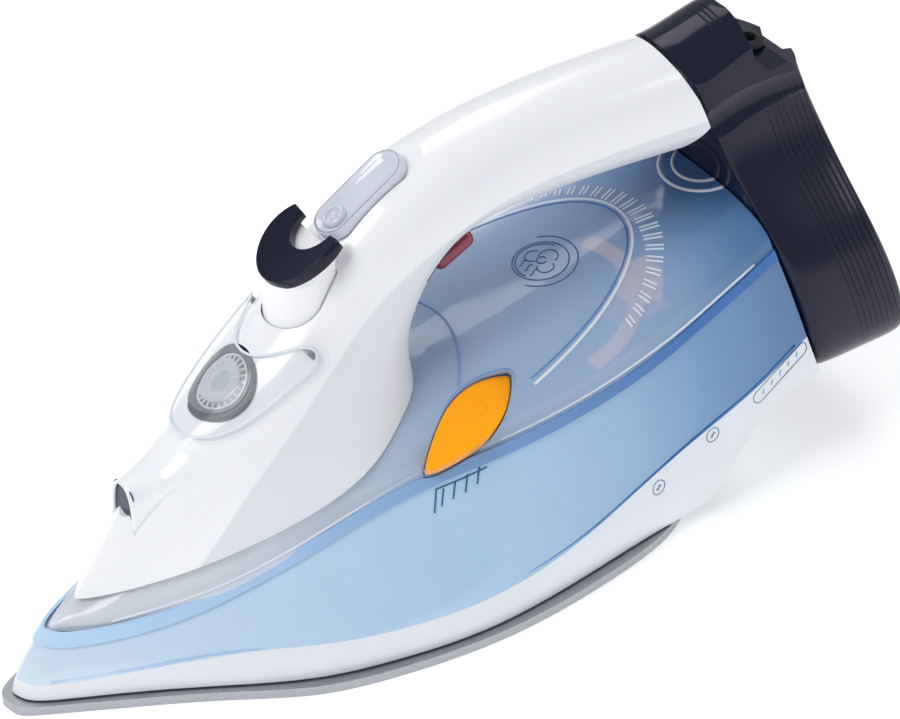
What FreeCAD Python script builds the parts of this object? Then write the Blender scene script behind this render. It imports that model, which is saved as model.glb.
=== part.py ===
"""Steam clothes iron: soleplate, water tank, handle, heel and the works inside them.

Every length is in millimetres. Shapes are laid out with x measured from the nose tip
towards the heel, y towards the right-hand side and z up from the ironing surface. The
placement of each sub-part then moves the origin to the middle of the footprint.
"""
import FreeCAD, Part
import math
import os
from FreeCAD import Placement, Rotation, Vector

DOC = FreeCAD.newDocument("steam_iron")
SHEET = DOC.addObject("Spreadsheet::Sheet", "Dimensions")

DIMENSIONS = {
    "origin_shift": -162.3,
    "wall": 2.2,
    "heel_gap": 0.3,
    "plate_thickness": 3.4,
    "platform_height": 5.4,
    "platform_inset": 7.6,
    "steam_hole_radius": 1.5,
    "element_radius": 3.6,
    "chamber_wall": 3.0,
    "chamber_height": 3.4,
    "cover_thickness": 1.2,
    "rim_height": 3.6,
    "rim_stand_off": 0.9,
    "hinge_pin_radius": 1.1,
    "funnel_radius": 12.5,
    "funnel_throat": 8.0,
    "funnel_depth": 18.0,
    "seal_depth": 3.0,
    "lid_thickness": 1.8,
    "button_radius": 11.5,
    "slider_length": 36.0,
    "slider_width": 13.4,
    "slider_height": 6.2,
    "slider_travel": 5.0,
    "lid_opening": 45.0,
    "slider_slope": 32.0,
    "calc_length": 41.0,
    "calc_width": 15.5,
    "spring_wire": 0.45,
    "gland_radius": 7.0,
    "screw_head_radius": 2.6,
    "board_thickness": 1.6,
    "tube_radius": 1.6,
}
for row, (alias, size) in enumerate(DIMENSIONS.items(), start=1):
    SHEET.set(f"A{row}", alias)
    SHEET.set(f"B{row}", str(size))
    SHEET.setAlias(f"B{row}", alias)
DOC.recompute()

SUB_PARTS = []
ORIGIN = Placement(Vector(SHEET.origin_shift, 0, 0), Rotation())

# ---------------------------------------------------------------- form tables

# soleplate outline: distance from the nose, half width
SOLE = [(2.0, 5.5), (12.6, 11.6), (34.6, 22.6), (56.6, 34.1), (78.0, 46.3), (102.5, 54.4),
        (145.0, 59.2), (187.0, 55.3), (215.0, 48.9), (229.0, 42.0), (239.0, 31.0)]
SOLE_NOSE = 0.2
SOLE_REAR = 246.5

# lower body: height, nose, then distance and half width along each level
BODY_X = [0.012, 0.055, 0.12, 0.19, 0.27, 0.36, 0.47, 0.60, 0.70, 0.80, 0.90, 0.97]
BODY = [
    (4.0, 3.4, [6.0, 13.0, 22.5, 34.0, 46.0, 53.0, 56.0, 51.5, 46.5, 43.5, 42.0, 36.0]),
    (13.0, 7.0, [5.6, 13.4, 23.0, 34.0, 46.5, 54.0, 57.0, 53.5, 49.0, 46.0, 44.5, 38.0]),
    (30.0, 20.5, [4.4, 10.6, 19.0, 28.2, 40.0, 48.0, 53.0, 51.5, 48.5, 46.5, 45.5, 40.0]),
    (50.0, 36.5, [4.2, 9.8, 17.0, 25.4, 34.2, 42.0, 47.5, 48.5, 46.5, 45.0, 44.0, 39.0]),
    (72.0, 55.0, [5.0, 11.0, 17.0, 23.5, 30.0, 36.5, 41.5, 43.0, 42.0, 41.0, 39.5, 33.0]),
    (100.0, 80.0, [5.0, 10.0, 15.0, 20.0, 25.0, 29.0, 32.0, 34.0, 34.0, 32.0, 29.0, 22.0]),
]
BODY_REAR = 309.0

# clear tank top: distance from the nose, half width at the rim, rim height, crest height
TANK_TOP = [(16.9, 1.2, 24.4, 25.3), (20.0, 3.2, 24.4, 27.6), (29.0, 8.8, 24.3, 31.0),
            (42.0, 14.6, 25.6, 39.5), (58.0, 20.8, 29.4, 50.5), (85.0, 28.4, 39.5, 65.0), (112.0, 34.1, 51.4, 73.0),
            (140.0, 39.5, 59.0, 80.5), (170.0, 43.3, 63.7, 87.5), (200.0, 43.5, 69.0, 92.8),
            (230.0, 40.7, 76.4, 98.6), (252.0, 37.9, 83.6, 103.0), (268.0, 35.3, 88.7, 107.5)]
TANK_FULLNESS = 2.5

# cover and handle: top point, bottom point, half width, widest level, roundness of the ridge
HANDLE = [((18.0, 20.0), (150.0, 46.0), 33.0, 0.66, 0.0),
          ((33.0, 42.0), (149.0, 56.0), 33.5, 0.62, 0.1),
          ((49.5, 63.5), (147.0, 68.0), 31.5, 0.58, 0.3),
          ((66.0, 80.5), (144.0, 82.0), 27.5, 0.56, 0.6),
          ((85.0, 96.5), (143.5, 96.0), 24.0, 0.55, 0.9),
          ((103.0, 112.0), (147.5, 107.0), 21.5, 0.55, 1.0),
          ((117.0, 128.0), (153.5, 115.0), 20.0, 0.56, 1.0),
          ((132.0, 141.5), (162.0, 121.5), 19.3, 0.58, 1.0),
          ((150.0, 150.0), (173.0, 124.5), 18.8, 0.60, 1.0),
          ((172.0, 155.5), (187.0, 125.0), 18.5, 0.62, 1.0),
          ((200.0, 158.3), (208.0, 124.5), 18.5, 0.63, 1.0),
          ((226.0, 158.8), (233.0, 123.0), 18.5, 0.63, 1.0),
          ((240.0, 158.6), (260.0, 121.0), 18.5, 0.63, 1.0)]

# heel: height, front, rear, half width
HEEL = [(38.0, 283.5, 320.0, 38.5), (44.0, 281.5, 321.0, 43.8), (56.0, 277.5, 318.8, 45.6),
        (70.0, 273.5, 314.5, 43.6), (86.0, 268.5, 309.0, 38.4), (102.0, 263.2, 303.8, 30.0),
        (118.0, 257.5, 298.6, 22.4), (134.0, 252.0, 292.5, 18.5), (146.0, 247.5, 288.5, 17.0),
        (156.0, 243.0, 286.0, 15.5), (164.0, 239.5, 285.0, 13.0)]

# parting lines, seen from the side
SKIRT_TOP = [(-15, 9), (6, 9), (65, 15), (127, 16), (180, 22), (217, 33), (257, 46), (295, 68)]
RIM = [(-15, 24), (33, 24.3), (57, 29), (82, 38), (110, 50.5), (131, 57), (154, 61),
       (186, 66), (219, 73), (240, 79.5), (260, 86), (295, 96)]
UNDERSIDE = [(-15, 4.6), (238, 4.6), (259, 32), (300, 38.6)]
COVER_EDGE = [(-10, 28), (20, 30.5), (39, 36.5), (60, 43.5), (78, 49.5), (99, 57.5),
              (114, 65), (126, 72), (136, 77), (150, 76), (175, 70)]
CREASE = [(-40, -76), (0, -28), (40, 20), (62, 47), (75, 64), (96, 86), (114, 104),
          (133, 119), (153, 128), (172, 133.5), (197, 136), (225, 136), (275, 135)]
HEEL_FRONT = [(290, 18), (283.5, 38), (277.5, 56), (268.5, 86), (257.5, 118), (247.5, 146),
              (235.5, 175)]
HEEL_ROOF = [(200, 154), (240, 155.6), (258, 157.4), (264, 155), (268, 146), (276, 141.6),
             (350, 136)]


# ---------------------------------------------------------------- helpers

def feature(name, shape):
    """Keep a shape as the sub-part called name, placed about the common origin."""
    part = DOC.addObject("Part::Feature", name)
    part.Label = name
    part.Shape = shape
    part.Placement = ORIGIN.multiply(part.Placement)
    SUB_PARTS.append(part)
    return part


def closed_curve(points):
    """Smooth closed curve with one evenly numbered knot at each point."""
    curve = Part.BSplineCurve()
    knots = [float(i) for i in range(len(points) + 1)]
    curve.interpolate(Points=points, PeriodicFlag=True, Parameters=knots)
    return curve


def sewn(faces):
    """Solid inside a closed set of faces."""
    pieces = Part.makeCompound(faces)
    pieces.sewShape()
    solid = Part.Solid(pieces.Shells[0])
    if solid.Volume < 0:
        solid.reverse()
    solid.fix(1e-4, 1e-4, 1e-2)
    return solid


def skin(rows):
    """Solid skinned smoothly through closed rows of points, with flat ends."""
    curves = [closed_curve(row) for row in rows]
    along = [0.0]
    for first, second in zip(rows, rows[1:]):
        step = sum((b - a).Length for a, b in zip(first, second)) / len(first)
        along.append(along[-1] + step)
    rails = []
    for index in range(1, curves[0].NbPoles + 1):
        rail = Part.BSplineCurve()
        rail.interpolate(Points=[c.getPole(index) for c in curves], Parameters=along)
        rails.append(rail)
    around = curves[0]
    surface = Part.BSplineSurface()
    surface.buildFromPolesMultsKnots(
        [rail.getPoles() for rail in rails],
        around.getMultiplicities(), rails[0].getMultiplicities(),
        around.getKnots(), rails[0].getKnots(),
        True, False, around.Degree, rails[0].Degree)
    wall = surface.toShape()
    caps = [Part.Face(Part.Wire([edge])) for edge in wall.Edges if edge.isClosed()]
    return sewn([wall] + caps)


def mirrored_row(half):
    """Closed row from points on the right-hand side that start and end on the middle."""
    return half + [Vector(p.x, -p.y, p.z) for p in reversed(half[1:-1])]


def spline(points, height=0.0):
    """Open smooth curve in the side view, pushed to one side by height."""
    curve = Part.BSplineCurve()
    curve.interpolate(Points=[Vector(x, height, z) for x, z in points])
    return curve.toShape()


def side_prism(lower, upper, half_width=90.0):
    """Block across the iron between two side-view lines, smooth or straight."""
    start = Part.makeLine(lower.valueAt(lower.FirstParameter), upper.valueAt(upper.FirstParameter))
    end = Part.makeLine(lower.valueAt(lower.LastParameter), upper.valueAt(upper.LastParameter))
    face = Part.Face(Part.Wire(Part.__sortEdges__([start, upper, end, lower])))
    return face.extrude(Vector(0, 2 * half_width, 0))


def level(height, first=-40.0, last=360.0):
    """Level line in the side view, starting at the left-hand side of the prism."""
    return Part.makeLine(Vector(first, -90, height), Vector(last, -90, height))


def side_line(points):
    """Smooth side-view line at the left-hand side of the prism."""
    return spline(points, -90.0)


def above(points):
    """Everything above a side-view line."""
    line = side_line(points)
    return side_prism(line, level(220.0))


def below(points):
    """Everything below a side-view line."""
    return side_prism(level(-60.0), side_line(points))


def polygon_prism(points, half_width):
    """Block across the iron with a straight-sided side view."""
    corners = [Vector(x, -half_width, z) for x, z in points]
    face = Part.Face(Part.makePolygon(corners + corners[:1]))
    return face.extrude(Vector(0, 2 * half_width, 0))


def body_form(inset=0.0):
    """Outside of the lower body, drawn in by inset."""
    rows = []
    for height, nose, widths in BODY:
        span = BODY_REAR - nose
        half = [Vector(nose + 1.3 * inset, 0, height)]
        half += [Vector(nose + span * x + inset * (1 - x), w - inset, height)
                 for x, w in zip(BODY_X, widths)]
        half.append(Vector(BODY_REAR - inset, 0, height))
        rows.append(mirrored_row(half))
    return skin(rows)


def tank_top_form(inset=0.0):
    """Clear tank top above the rim, drawn in by inset at the sides and crest."""
    rows = []
    for x, half_width, rim, crest in TANK_TOP:
        w = half_width - inset
        if w < 0.5:
            continue
        rise = crest - rim - inset
        power = 2 / TANK_FULLNESS
        angles = [math.radians(a) for a in (90, 72, 54, 38, 24, 12, 3)]
        half = [Vector(x, w * abs(math.cos(a)) ** power, rim + rise * math.sin(a) ** power)
                for a in angles]
        half[0].y = 0.0
        half += [Vector(x, w * 0.985, rim - 0.6), Vector(x, w * 0.6, rim - 0.8),
                 Vector(x, 0, rim - 0.8)]
        rows.append(mirrored_row(half))
    return skin(rows)


def handle_form(inset=0.0):
    """Outside of the front cover and handle, drawn in by inset."""
    rows = []
    for (top_x, top_z), (low_x, low_z), half_width, widest, ridge in HANDLE:
        span = Vector(low_x - top_x, 0, low_z - top_z)
        along = Vector(span).normalize()
        start = Vector(top_x, 0, top_z) + along * inset
        span = span - along * (2 * inset)
        rest = 1 - widest
        profile = [(0.0, 0.0), (0.035, 0.15 + 0.19 * ridge), (0.14, 0.42 + 0.24 * ridge),
                   (0.53 * widest, 0.74 + 0.13 * ridge),
                   (widest, 1.0), (widest + 0.45 * rest, 0.955), (widest + 0.8 * rest, 0.72),
                   (0.985, 0.36), (1.0, 0.0)]
        rows.append(mirrored_row([start + span * u + Vector(0, (half_width - inset) * v, 0)
                                  for u, v in profile]))
    return skin(rows)


def heel_form(inset=0.0):
    """Outside of the heel, drawn in by inset."""
    rows = []
    for height, front, rear, half_width in HEEL:
        f = front + inset
        r = rear - inset
        w = half_width - inset
        half = [(f, 0), (f, 0.6 * w), (f + 0.5, 0.9 * w), (f + 4, w), ((f + r) / 2, w),
                (r - 5, 0.985 * w), (r - 1, 0.9 * w), (r + 2.2, 0.55 * w), (r + 4, 0)]
        rows.append(mirrored_row([Vector(x, y, height) for x, y in half]))
    return skin(rows)


def sole_outline(inset, height):
    """Face inside the soleplate outline, drawn in by inset."""
    half = [Vector(SOLE_NOSE + 2.2 * inset, 0, height)]
    half += [Vector(x + 1.6 * inset * (1 - x / SOLE_REAR), w - inset, height) for x, w in SOLE
             if w > 1.4 * inset]
    half.append(Vector(SOLE_REAR - inset, 0, height))
    return Part.Face(Part.Wire([closed_curve(mirrored_row(half)).toShape()]))


def sole_half_width(x):
    """Half width of the soleplate at a distance from the nose."""
    for (x0, w0), (x1, w1) in zip(SOLE, SOLE[1:]):
        if x0 <= x <= x1:
            return w0 + (w1 - w0) * (x - x0) / (x1 - x0)
    return 0.0


def rounded_path(points, radii):
    """Wire of straight runs joined by tangent arcs at the inner points."""
    edges = []
    start = points[0]
    for before, corner, after, radius in zip(points, points[1:], points[2:], radii):
        arriving = (corner - before).normalize()
        leaving = (after - corner).normalize()
        turn = arriving.getAngle(leaving)
        reach = radius * math.tan(turn / 2)
        enter = corner - arriving * reach
        leave = corner + leaving * reach
        inward = (leaving - arriving).normalize()
        middle = corner + inward * (radius / math.cos(turn / 2) - radius)
        edges.append(Part.makeLine(start, enter))
        edges.append(Part.Arc(enter, middle, leave).toShape())
        start = leave
    edges.append(Part.makeLine(start, points[-1]))
    return Part.Wire(edges)


def tube(points, radii, outer, inner=0.0):
    """Round rod or tube along a rounded path."""
    path = rounded_path(points, radii)
    direction = points[1] - points[0]
    rod = None
    for radius in (outer, inner):
        if radius > 0:
            ring = Part.Wire([Part.makeCircle(radius, points[0], direction)])
            swept = path.makePipeShell([ring], True, False)
            rod = swept if rod is None else rod.cut(swept)
    return rod


def local_frame(origin, along, normal):
    """Placement whose x axis is along and whose z axis is close to normal."""
    x_axis = Vector(along).normalize()
    y_axis = normal.cross(x_axis).normalize()
    z_axis = x_axis.cross(y_axis)
    return Placement(origin, Rotation(x_axis, y_axis, z_axis, "XZY"))


def slot_prism(length, width, bottom, top):
    """Upright block with a stadium outline centred on the local origin."""
    r = width / 2
    reach = length / 2 - r
    corners = [Vector(-reach, -r, bottom), Vector(reach, -r, bottom),
               Vector(reach, r, bottom), Vector(-reach, r, bottom)]
    edges = [Part.makeLine(corners[0], corners[1]),
             Part.Arc(corners[1], Vector(reach + r, 0, bottom), corners[2]).toShape(),
             Part.makeLine(corners[2], corners[3]),
             Part.Arc(corners[3], Vector(-reach - r, 0, bottom), corners[0]).toShape()]
    return Part.Face(Part.Wire(edges)).extrude(Vector(0, 0, top - bottom))


def placed(shape, placement):
    """Copy of a shape moved by a placement."""
    moved = shape.copy()
    moved.Placement = placement.multiply(moved.Placement)
    return moved


def coil(radius, bottom, top, turns, wire):
    """Coil spring of round wire standing on the local z axis."""
    steps = 14 * turns
    rows = []
    for step in range(steps + 1):
        angle = 2 * math.pi * turns * step / steps
        outward = Vector(math.cos(angle), math.sin(angle), 0)
        middle = outward * radius
        middle.z = bottom + wire + (top - bottom - 2 * wire) * step / steps
        rows.append([middle + outward * (wire * math.cos(a)) + Vector(0, 0, wire * math.sin(a))
                     for a in (math.radians(60 * k) for k in range(6))])
    return skin(rows)


def revolved(profile):
    """Solid turned about the local z axis from radius and height pairs."""
    corners = [Vector(r, 0, z) for r, z in profile]
    face = Part.Face(Part.makePolygon(corners + corners[:1]))
    return face.revolve(Vector(0, 0, 0), Vector(0, 0, 1), 360)


# ---------------------------------------------------------------- sketched bodies

def origin_plane(body, role):
    """Origin plane of a body by its role."""
    return next(item for item in body.Origin.OriginFeatures if item.Role == role)


def sketched_body(name, placement):
    """Empty body with an attached sketch on its own XY plane."""
    body = DOC.addObject("PartDesign::Body", name)
    body.Label = name
    sketch = body.newObject("Sketcher::SketchObject", name + "_sketch")
    sketch.AttachmentSupport = (origin_plane(body, "XY_Plane"), [""])
    sketch.MapMode = "FlatFace"
    body.Placement = ORIGIN.multiply(placement)
    SUB_PARTS.append(body)
    return body, sketch


def rectangle_sketch(sketch, length, width):
    """Centred rectangle whose sides are bound to expressions."""
    import Sketcher
    corners = [Vector(-5, -5, 0), Vector(5, -5, 0), Vector(5, 5, 0), Vector(-5, 5, 0)]
    for index, corner in enumerate(corners):
        sketch.addGeometry(Part.LineSegment(corner, corners[(index + 1) % 4]))
    for index in range(4):
        sketch.addConstraint(Sketcher.Constraint("Coincident", index, 2, (index + 1) % 4, 1))
    for index, kind in enumerate(("Horizontal", "Vertical", "Horizontal", "Vertical")):
        sketch.addConstraint(Sketcher.Constraint(kind, index))
    sketch.addConstraint(Sketcher.Constraint("Symmetric", 0, 1, 2, 1, -1, 1))
    for index, size in ((0, length), (1, width)):
        kind = "DistanceX" if index == 0 else "DistanceY"
        number = sketch.addConstraint(Sketcher.Constraint(kind, index, 1, index, 2, 10.0))
        sketch.setExpression(f"Constraints[{number}]", size)


def rings_sketch(sketch, radii):
    """Concentric circles whose radii are bound to expressions."""
    import Sketcher
    for index, size in enumerate(radii):
        sketch.addGeometry(Part.Circle(Vector(0, 0, 0), Vector(0, 0, 1), 2.0 + index))
        sketch.addConstraint(Sketcher.Constraint("Coincident", index, 3, -1, 1))
        number = sketch.addConstraint(Sketcher.Constraint("Radius", index, 2.0 + index))
        sketch.setExpression(f"Constraints[{number}]", size)


def padded(body, sketch, height):
    """Pad of a sketch whose length is bound to an expression."""
    pad = body.newObject("PartDesign::Pad", body.Name + "_pad")
    pad.Profile = sketch
    pad.setExpression("Length", height)
    sketch.Visibility = False
    body.Tip = pad
    return body


def block_body(name, placement, length, width, height):
    """Rectangular body whose three sizes are expressions."""
    body, sketch = sketched_body(name, placement)
    rectangle_sketch(sketch, length, width)
    return padded(body, sketch, height)


def ring_body(name, placement, radii, height):
    """Round body or tube whose radii and height are expressions."""
    body, sketch = sketched_body(name, placement)
    rings_sketch(sketch, radii)
    return padded(body, sketch, height)


# ---------------------------------------------------------------- sole and heat

WALL = SHEET.wall
GAP = SHEET.heel_gap
PLATE_TOP = SHEET.plate_thickness
PLATFORM_TOP = PLATE_TOP + SHEET.platform_height
ELEMENT_LEVEL = PLATFORM_TOP - 0.6
ELEMENT_ROUTE = [(226, -21), (140, -38), (60, -8), (60, 8), (140, 38), (226, 21)]


def soleplate():
    """Ironing plate with two rows of steam holes down each side."""
    plate = sole_outline(0.0, 0.0).extrude(Vector(0, 0, PLATE_TOP))
    drills = []
    for row_inset in (9.0, 18.0):
        x = 24.0 + 1.4 * row_inset
        while x < 205:
            y = sole_half_width(x) - row_inset
            for side in (-1, 1):
                drills.append(Part.makeCylinder(SHEET.steam_hole_radius, PLATE_TOP + 2,
                                                Vector(x, side * y, -1)))
            x += 12.0
    feature("soleplate", plate.cut(Part.makeCompound(drills)))


def element_rod(radius):
    """Hairpin heating rod lying in the platform."""
    points = [Vector(x, y, ELEMENT_LEVEL) for x, y in ELEMENT_ROUTE]
    return tube(points, [60.0, 5.0, 5.0, 60.0], radius)


def sole_platform():
    """Cast platform on the soleplate with the heating groove and steam wall."""
    inset = SHEET.platform_inset
    platform = sole_outline(inset, PLATE_TOP).extrude(Vector(0, 0, SHEET.platform_height))
    wall_top = PLATFORM_TOP + SHEET.chamber_height
    outer = chamber_outline(0.0, PLATFORM_TOP - 0.5, wall_top)
    inner = chamber_outline(SHEET.chamber_wall, PLATFORM_TOP - 2.0, wall_top + 1)
    platform = platform.fuse(outer).cut(inner)
    feature("sole_platform", platform.cut(element_rod(SHEET.element_radius + 0.05)))


def chamber_outline(inset, bottom, top):
    """Boat-shaped block for the steam chamber between the heating legs."""
    half = [Vector(78 + inset, 0, bottom), Vector(110, 17 - inset, bottom),
            Vector(150, 24 - inset, bottom), Vector(190, 18 - inset, bottom),
            Vector(212 - inset, 0, bottom)]
    return Part.Face(Part.Wire([closed_curve(mirrored_row(half)).toShape()])).extrude(
        Vector(0, 0, top - bottom))


def heating_element():
    """Sheathed heating rod."""
    feature("heating_element", element_rod(SHEET.element_radius))


def chamber_cover():
    """Steel lid of the steam chamber with three fixing holes."""
    bottom = PLATFORM_TOP + SHEET.chamber_height
    cover = chamber_outline(0.0, bottom, bottom + SHEET.cover_thickness)
    feed = Part.makeCylinder(3.2, 6, Vector(150, 0, bottom - 2))
    feature("chamber_cover", cover.cut(feed))


def heat_sensors():
    """Thermostat can and thermal fuse standing on the rear of the platform."""
    ring_body("thermostat", Placement(Vector(222, 0, PLATFORM_TOP), Rotation()),
              ["7.0 mm"], "7.0 mm")
    feature("thermal_fuse", Part.makeCylinder(1.8, 16, Vector(208, 16, PLATFORM_TOP + 5.2),
                                              Vector(1, 0, 0)))


# ---------------------------------------------------------------- base and tank

def skirt():
    """White heat-resistant skirt between the soleplate and the tank."""
    outer = body_form().common(above(UNDERSIDE)).common(below(SKIRT_TOP))
    inside_floor = [(x, z + (WALL if x > 238 else -8.0)) for x, z in UNDERSIDE]
    inner = body_form(WALL).common(above(inside_floor))
    shell = outer.cut(inner).common(ahead_of_heel(GAP))
    feature("skirt", largest(shell))


def ahead_of_heel(gap):
    """Everything on the nose side of the heel's front face, less a gap."""
    line = [(x - gap, z) for x, z in HEEL_FRONT]
    corners = [Vector(-60, -90, line[-1][1]), Vector(-60, -90, line[0][1])]
    curve = spline(line, -90.0)
    first = curve.valueAt(curve.FirstParameter)
    last = curve.valueAt(curve.LastParameter)
    wire = Part.Wire([curve, Part.makeLine(last, corners[0]), Part.makeLine(*corners),
                      Part.makeLine(corners[1], first)])
    low = Part.makeBox(350, 180, 80, Vector(-60, -90, -62))
    return Part.Face(wire).extrude(Vector(0, 180, 0)).fuse(low.common(
        Part.makeBox(350.0 - gap, 180, 80, Vector(-60, -90, -62))))


def largest(shape):
    """Biggest solid of a shape."""
    return max(shape.Solids, key=lambda solid: solid.Volume)


def tank_lower():
    """Blue lower tank with its sloping floor."""
    band = above(SKIRT_TOP).common(below(RIM))
    shell = body_form().cut(body_form(WALL)).common(band)
    floor_low = [(x, z + 4.0) for x, z in SKIRT_TOP]
    floor_high = [(x, z + 6.2) for x, z in SKIRT_TOP]
    floor = body_form(WALL - 0.05).common(above(floor_low)).common(below(floor_high))
    rear_wall = ahead_of_heel(GAP).cut(ahead_of_heel(GAP + WALL))
    rear_wall = rear_wall.common(body_form(WALL - 0.05)).common(above(floor_low)).common(below(RIM))
    feed = Part.makeCylinder(3.2, 60, Vector(150, 0, 0))
    tank = largest(shell.common(ahead_of_heel(GAP)).fuse([floor, rear_wall]))
    feature("tank_lower", largest(tank.common(ahead_of_heel(GAP)).cut(feed)))


def rim_ring():
    """Band standing proud of the body along the rim line."""
    half = SHEET.rim_height / 2
    band = above([(x, z - half) for x, z in RIM]).common(below([(x, z + half) for x, z in RIM]))
    ring = body_form(-SHEET.rim_stand_off).cut(body_form(-0.05)).common(band)
    return largest(ring.common(ahead_of_heel(0.4)))


def weld_rim():
    """Raised welded rim round the tank where its two halves meet."""
    notch = placed(calc_outline(0.5, -30, 20), CALC)
    feature("weld_rim", rim_ring().cut(notch))


def tank_upper():
    """Clear tank top with the filling hole and the calc-clean opening."""
    shell = tank_top_form().cut(tank_top_form(WALL)).common(above(RIM)).cut(rim_ring())
    funnel = placed(Part.makeCylinder(SHEET.funnel_throat + 2.4, 60, Vector(0, 0, -50)), FUNNEL)
    opening = placed(calc_outline(0.5, -30, 20), CALC)
    shell = shell.cut(funnel).cut(opening).common(ahead_of_heel(0.4))
    feature("tank_upper", largest(shell))


# ---------------------------------------------------------------- filling

SLOPE = math.radians(37.0)
FUNNEL = local_frame(Vector(80.5, 0, 93.0), Vector(-math.cos(SLOPE), 0, -math.sin(SLOPE)),
                     Vector(-math.sin(SLOPE), 0, math.cos(SLOPE)))
LID_HINGE = Vector(103.0, 0, 104.0)


def fill_funnel():
    """Dark funnel ring let into the front cover above the tank."""
    outer = SHEET.funnel_radius
    throat = SHEET.funnel_throat
    depth = SHEET.funnel_depth
    profile = [(outer - 2.2, 0.4), (outer, 0.0), (outer, -3.0), (throat + 1.8, -9.0),
               (throat + 1.8, -depth), (throat, -depth), (throat, -8.4), (outer - 2.4, -1.2)]
    feature("fill_funnel", placed(revolved(profile), FUNNEL).common(handle_form(0.05)))


def funnel_seal():
    """Rubber ring between the funnel and the tank top."""
    throat = SHEET.funnel_throat
    top = -SHEET.funnel_depth
    profile = [(throat, top), (throat + 2.0, top), (throat + 2.0, top - SHEET.seal_depth),
               (throat, top - SHEET.seal_depth)]
    feature("funnel_seal", placed(revolved(profile), FUNNEL))


def lid_outline(grow, bottom, top):
    """Block with the lid's plan outline, square to the funnel slope."""
    half = [(21.0 + grow, 0), (19.0 + grow, 8.0), (10.0, 15.0 + grow), (-4.0, 18.6 + grow),
            (-18.0, 20.6 + grow), (-26.5 - grow, 21.0 + grow), (-27.5 - grow, 17.0),
            (-21.0 - grow, 13.0), (-13.5 - grow, 8.0), (-11.0 - grow, 0)]
    rows = [Vector(x, y, bottom) for x, y in half]
    face = Part.Face(Part.Wire([closed_curve(mirrored_row(rows)).toShape()]))
    return placed(face.extrude(Vector(0, 0, top - bottom)), FUNNEL)


def fill_lid():
    """Clear lid over the funnel with its two hinge ears."""
    skin_gap = 0.6
    dome = handle_form(-skin_gap - SHEET.lid_thickness).cut(handle_form(-skin_gap))
    lid = largest(dome.common(lid_outline(0.0, -30, 24)))
    for step in range(1, 6):
        swing = handle_form(-0.3)
        swing.rotate(LID_HINGE, Vector(0, 1, 0), -step / 5 * SHEET.lid_opening)
        lid = largest(lid.cut(swing))
    feature("fill_lid", lid.cut(hinge_rod(SHEET.hinge_pin_radius + 0.2, -40, 40)))
    pins = [hinge_rod(SHEET.hinge_pin_radius, *reach) for reach in ((13.5, 30), (-30, -13.5))]
    pins = Part.makeCompound(pins).common(handle_form(-skin_gap - SHEET.lid_thickness + 0.3))
    feature("lid_hinge_pins", pins)


def hinge_rod(radius, start, end):
    """Round bar along the lid's hinge axis, across the iron."""
    return Part.makeCylinder(radius, end - start, LID_HINGE + Vector(0, start, 0), Vector(0, 1, 0))


def lid_plug():
    """Clear tapered plug under the lid, with a groove for its seal ring."""
    throat = SHEET.funnel_throat
    profile = [(0, 2.0), (throat - 0.6, 2.0), (throat - 0.6, -3.4), (throat - 2.2, -3.4),
               (throat - 2.2, -5.8), (throat - 1.2, -5.8), (throat - 2.6, -9.0), (0, -9.0)]
    feature("lid_plug", placed(revolved(profile), FUNNEL).common(handle_form(-0.55)))


def plug_seal():
    """Dark rubber ring in the plug's groove."""
    throat = SHEET.funnel_throat
    profile = [(throat - 2.2, -3.5), (throat - 0.35, -3.5), (throat - 0.35, -5.7),
               (throat - 2.2, -5.7)]
    feature("plug_seal", placed(revolved(profile), FUNNEL))


# ---------------------------------------------------------------- cover and handle

BUTTON_FRONT = 98.6
BUTTON_REAR = 117.0
BLOCK_BOTTOM = 99.0
SLIDER_TILT = math.radians(SHEET.slider_slope)
SLIDER = local_frame(Vector(133.5, 0, 140.4),
                     Vector(math.cos(SLIDER_TILT), 0, math.sin(SLIDER_TILT)),
                     Vector(-math.sin(SLIDER_TILT), 0, math.cos(SLIDER_TILT)))
NOZZLE = local_frame(Vector(45.6, 0, 62.0), Vector(0, 1, 0), Vector(-1.0, 0, -0.05))


def button_outline(grow, bottom, top):
    """D-shaped block of the steam button, rounded to the front."""
    r = SHEET.button_radius + grow
    centre = BUTTON_FRONT + SHEET.button_radius
    rear = BUTTON_REAR + grow
    edges = [Part.Arc(Vector(centre, -r, bottom), Vector(centre - r, 0, bottom),
                      Vector(centre, r, bottom)).toShape(),
             Part.makeLine(Vector(centre, r, bottom), Vector(rear, r * 0.86, bottom)),
             Part.makeLine(Vector(rear, r * 0.86, bottom), Vector(rear, -r * 0.86, bottom)),
             Part.makeLine(Vector(rear, -r * 0.86, bottom), Vector(centre, -r, bottom))]
    return Part.Face(Part.Wire(edges)).extrude(Vector(0, 0, top - bottom))


def cover_space():
    """Everything that is cut out of the cover and handle shells."""
    cuts = [button_outline(0.5, 80, 170)]
    slot_length = SHEET.slider_length + SHEET.slider_travel + 1.0
    slot = slot_prism(slot_length, SHEET.slider_width + 0.8, -1.6, 20)
    slot.translate(Vector(SHEET.slider_travel / 2, 0, 0))
    cuts.append(placed(slot, SLIDER))
    cuts.append(placed(Part.makeCylinder(SHEET.funnel_radius + 0.1, 16, Vector(0, 0, -8)), FUNNEL))
    cuts.append(placed(Part.makeCylinder(5.3, 30, Vector(0, 0, -26)), NOZZLE))
    cuts.append(hinge_rod(SHEET.hinge_pin_radius + 0.05, -40, 40))
    return cuts


def cover_shell():
    """Hollow front cover and handle above the tank, ahead of the heel."""
    shell = handle_form().cut(handle_form(WALL)).common(above(COVER_EDGE))
    hood = placed(Part.makeCone(8.4, 6.4, 16.0, Vector(0, 0, -16)), NOZZLE)
    shell = shell.fuse(hood.cut(handle_form(0.4)))
    shell = shell.cut(cover_space()).cut(tank_top_form(-0.2))
    return shell.common(ahead_of_heel(GAP))


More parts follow.
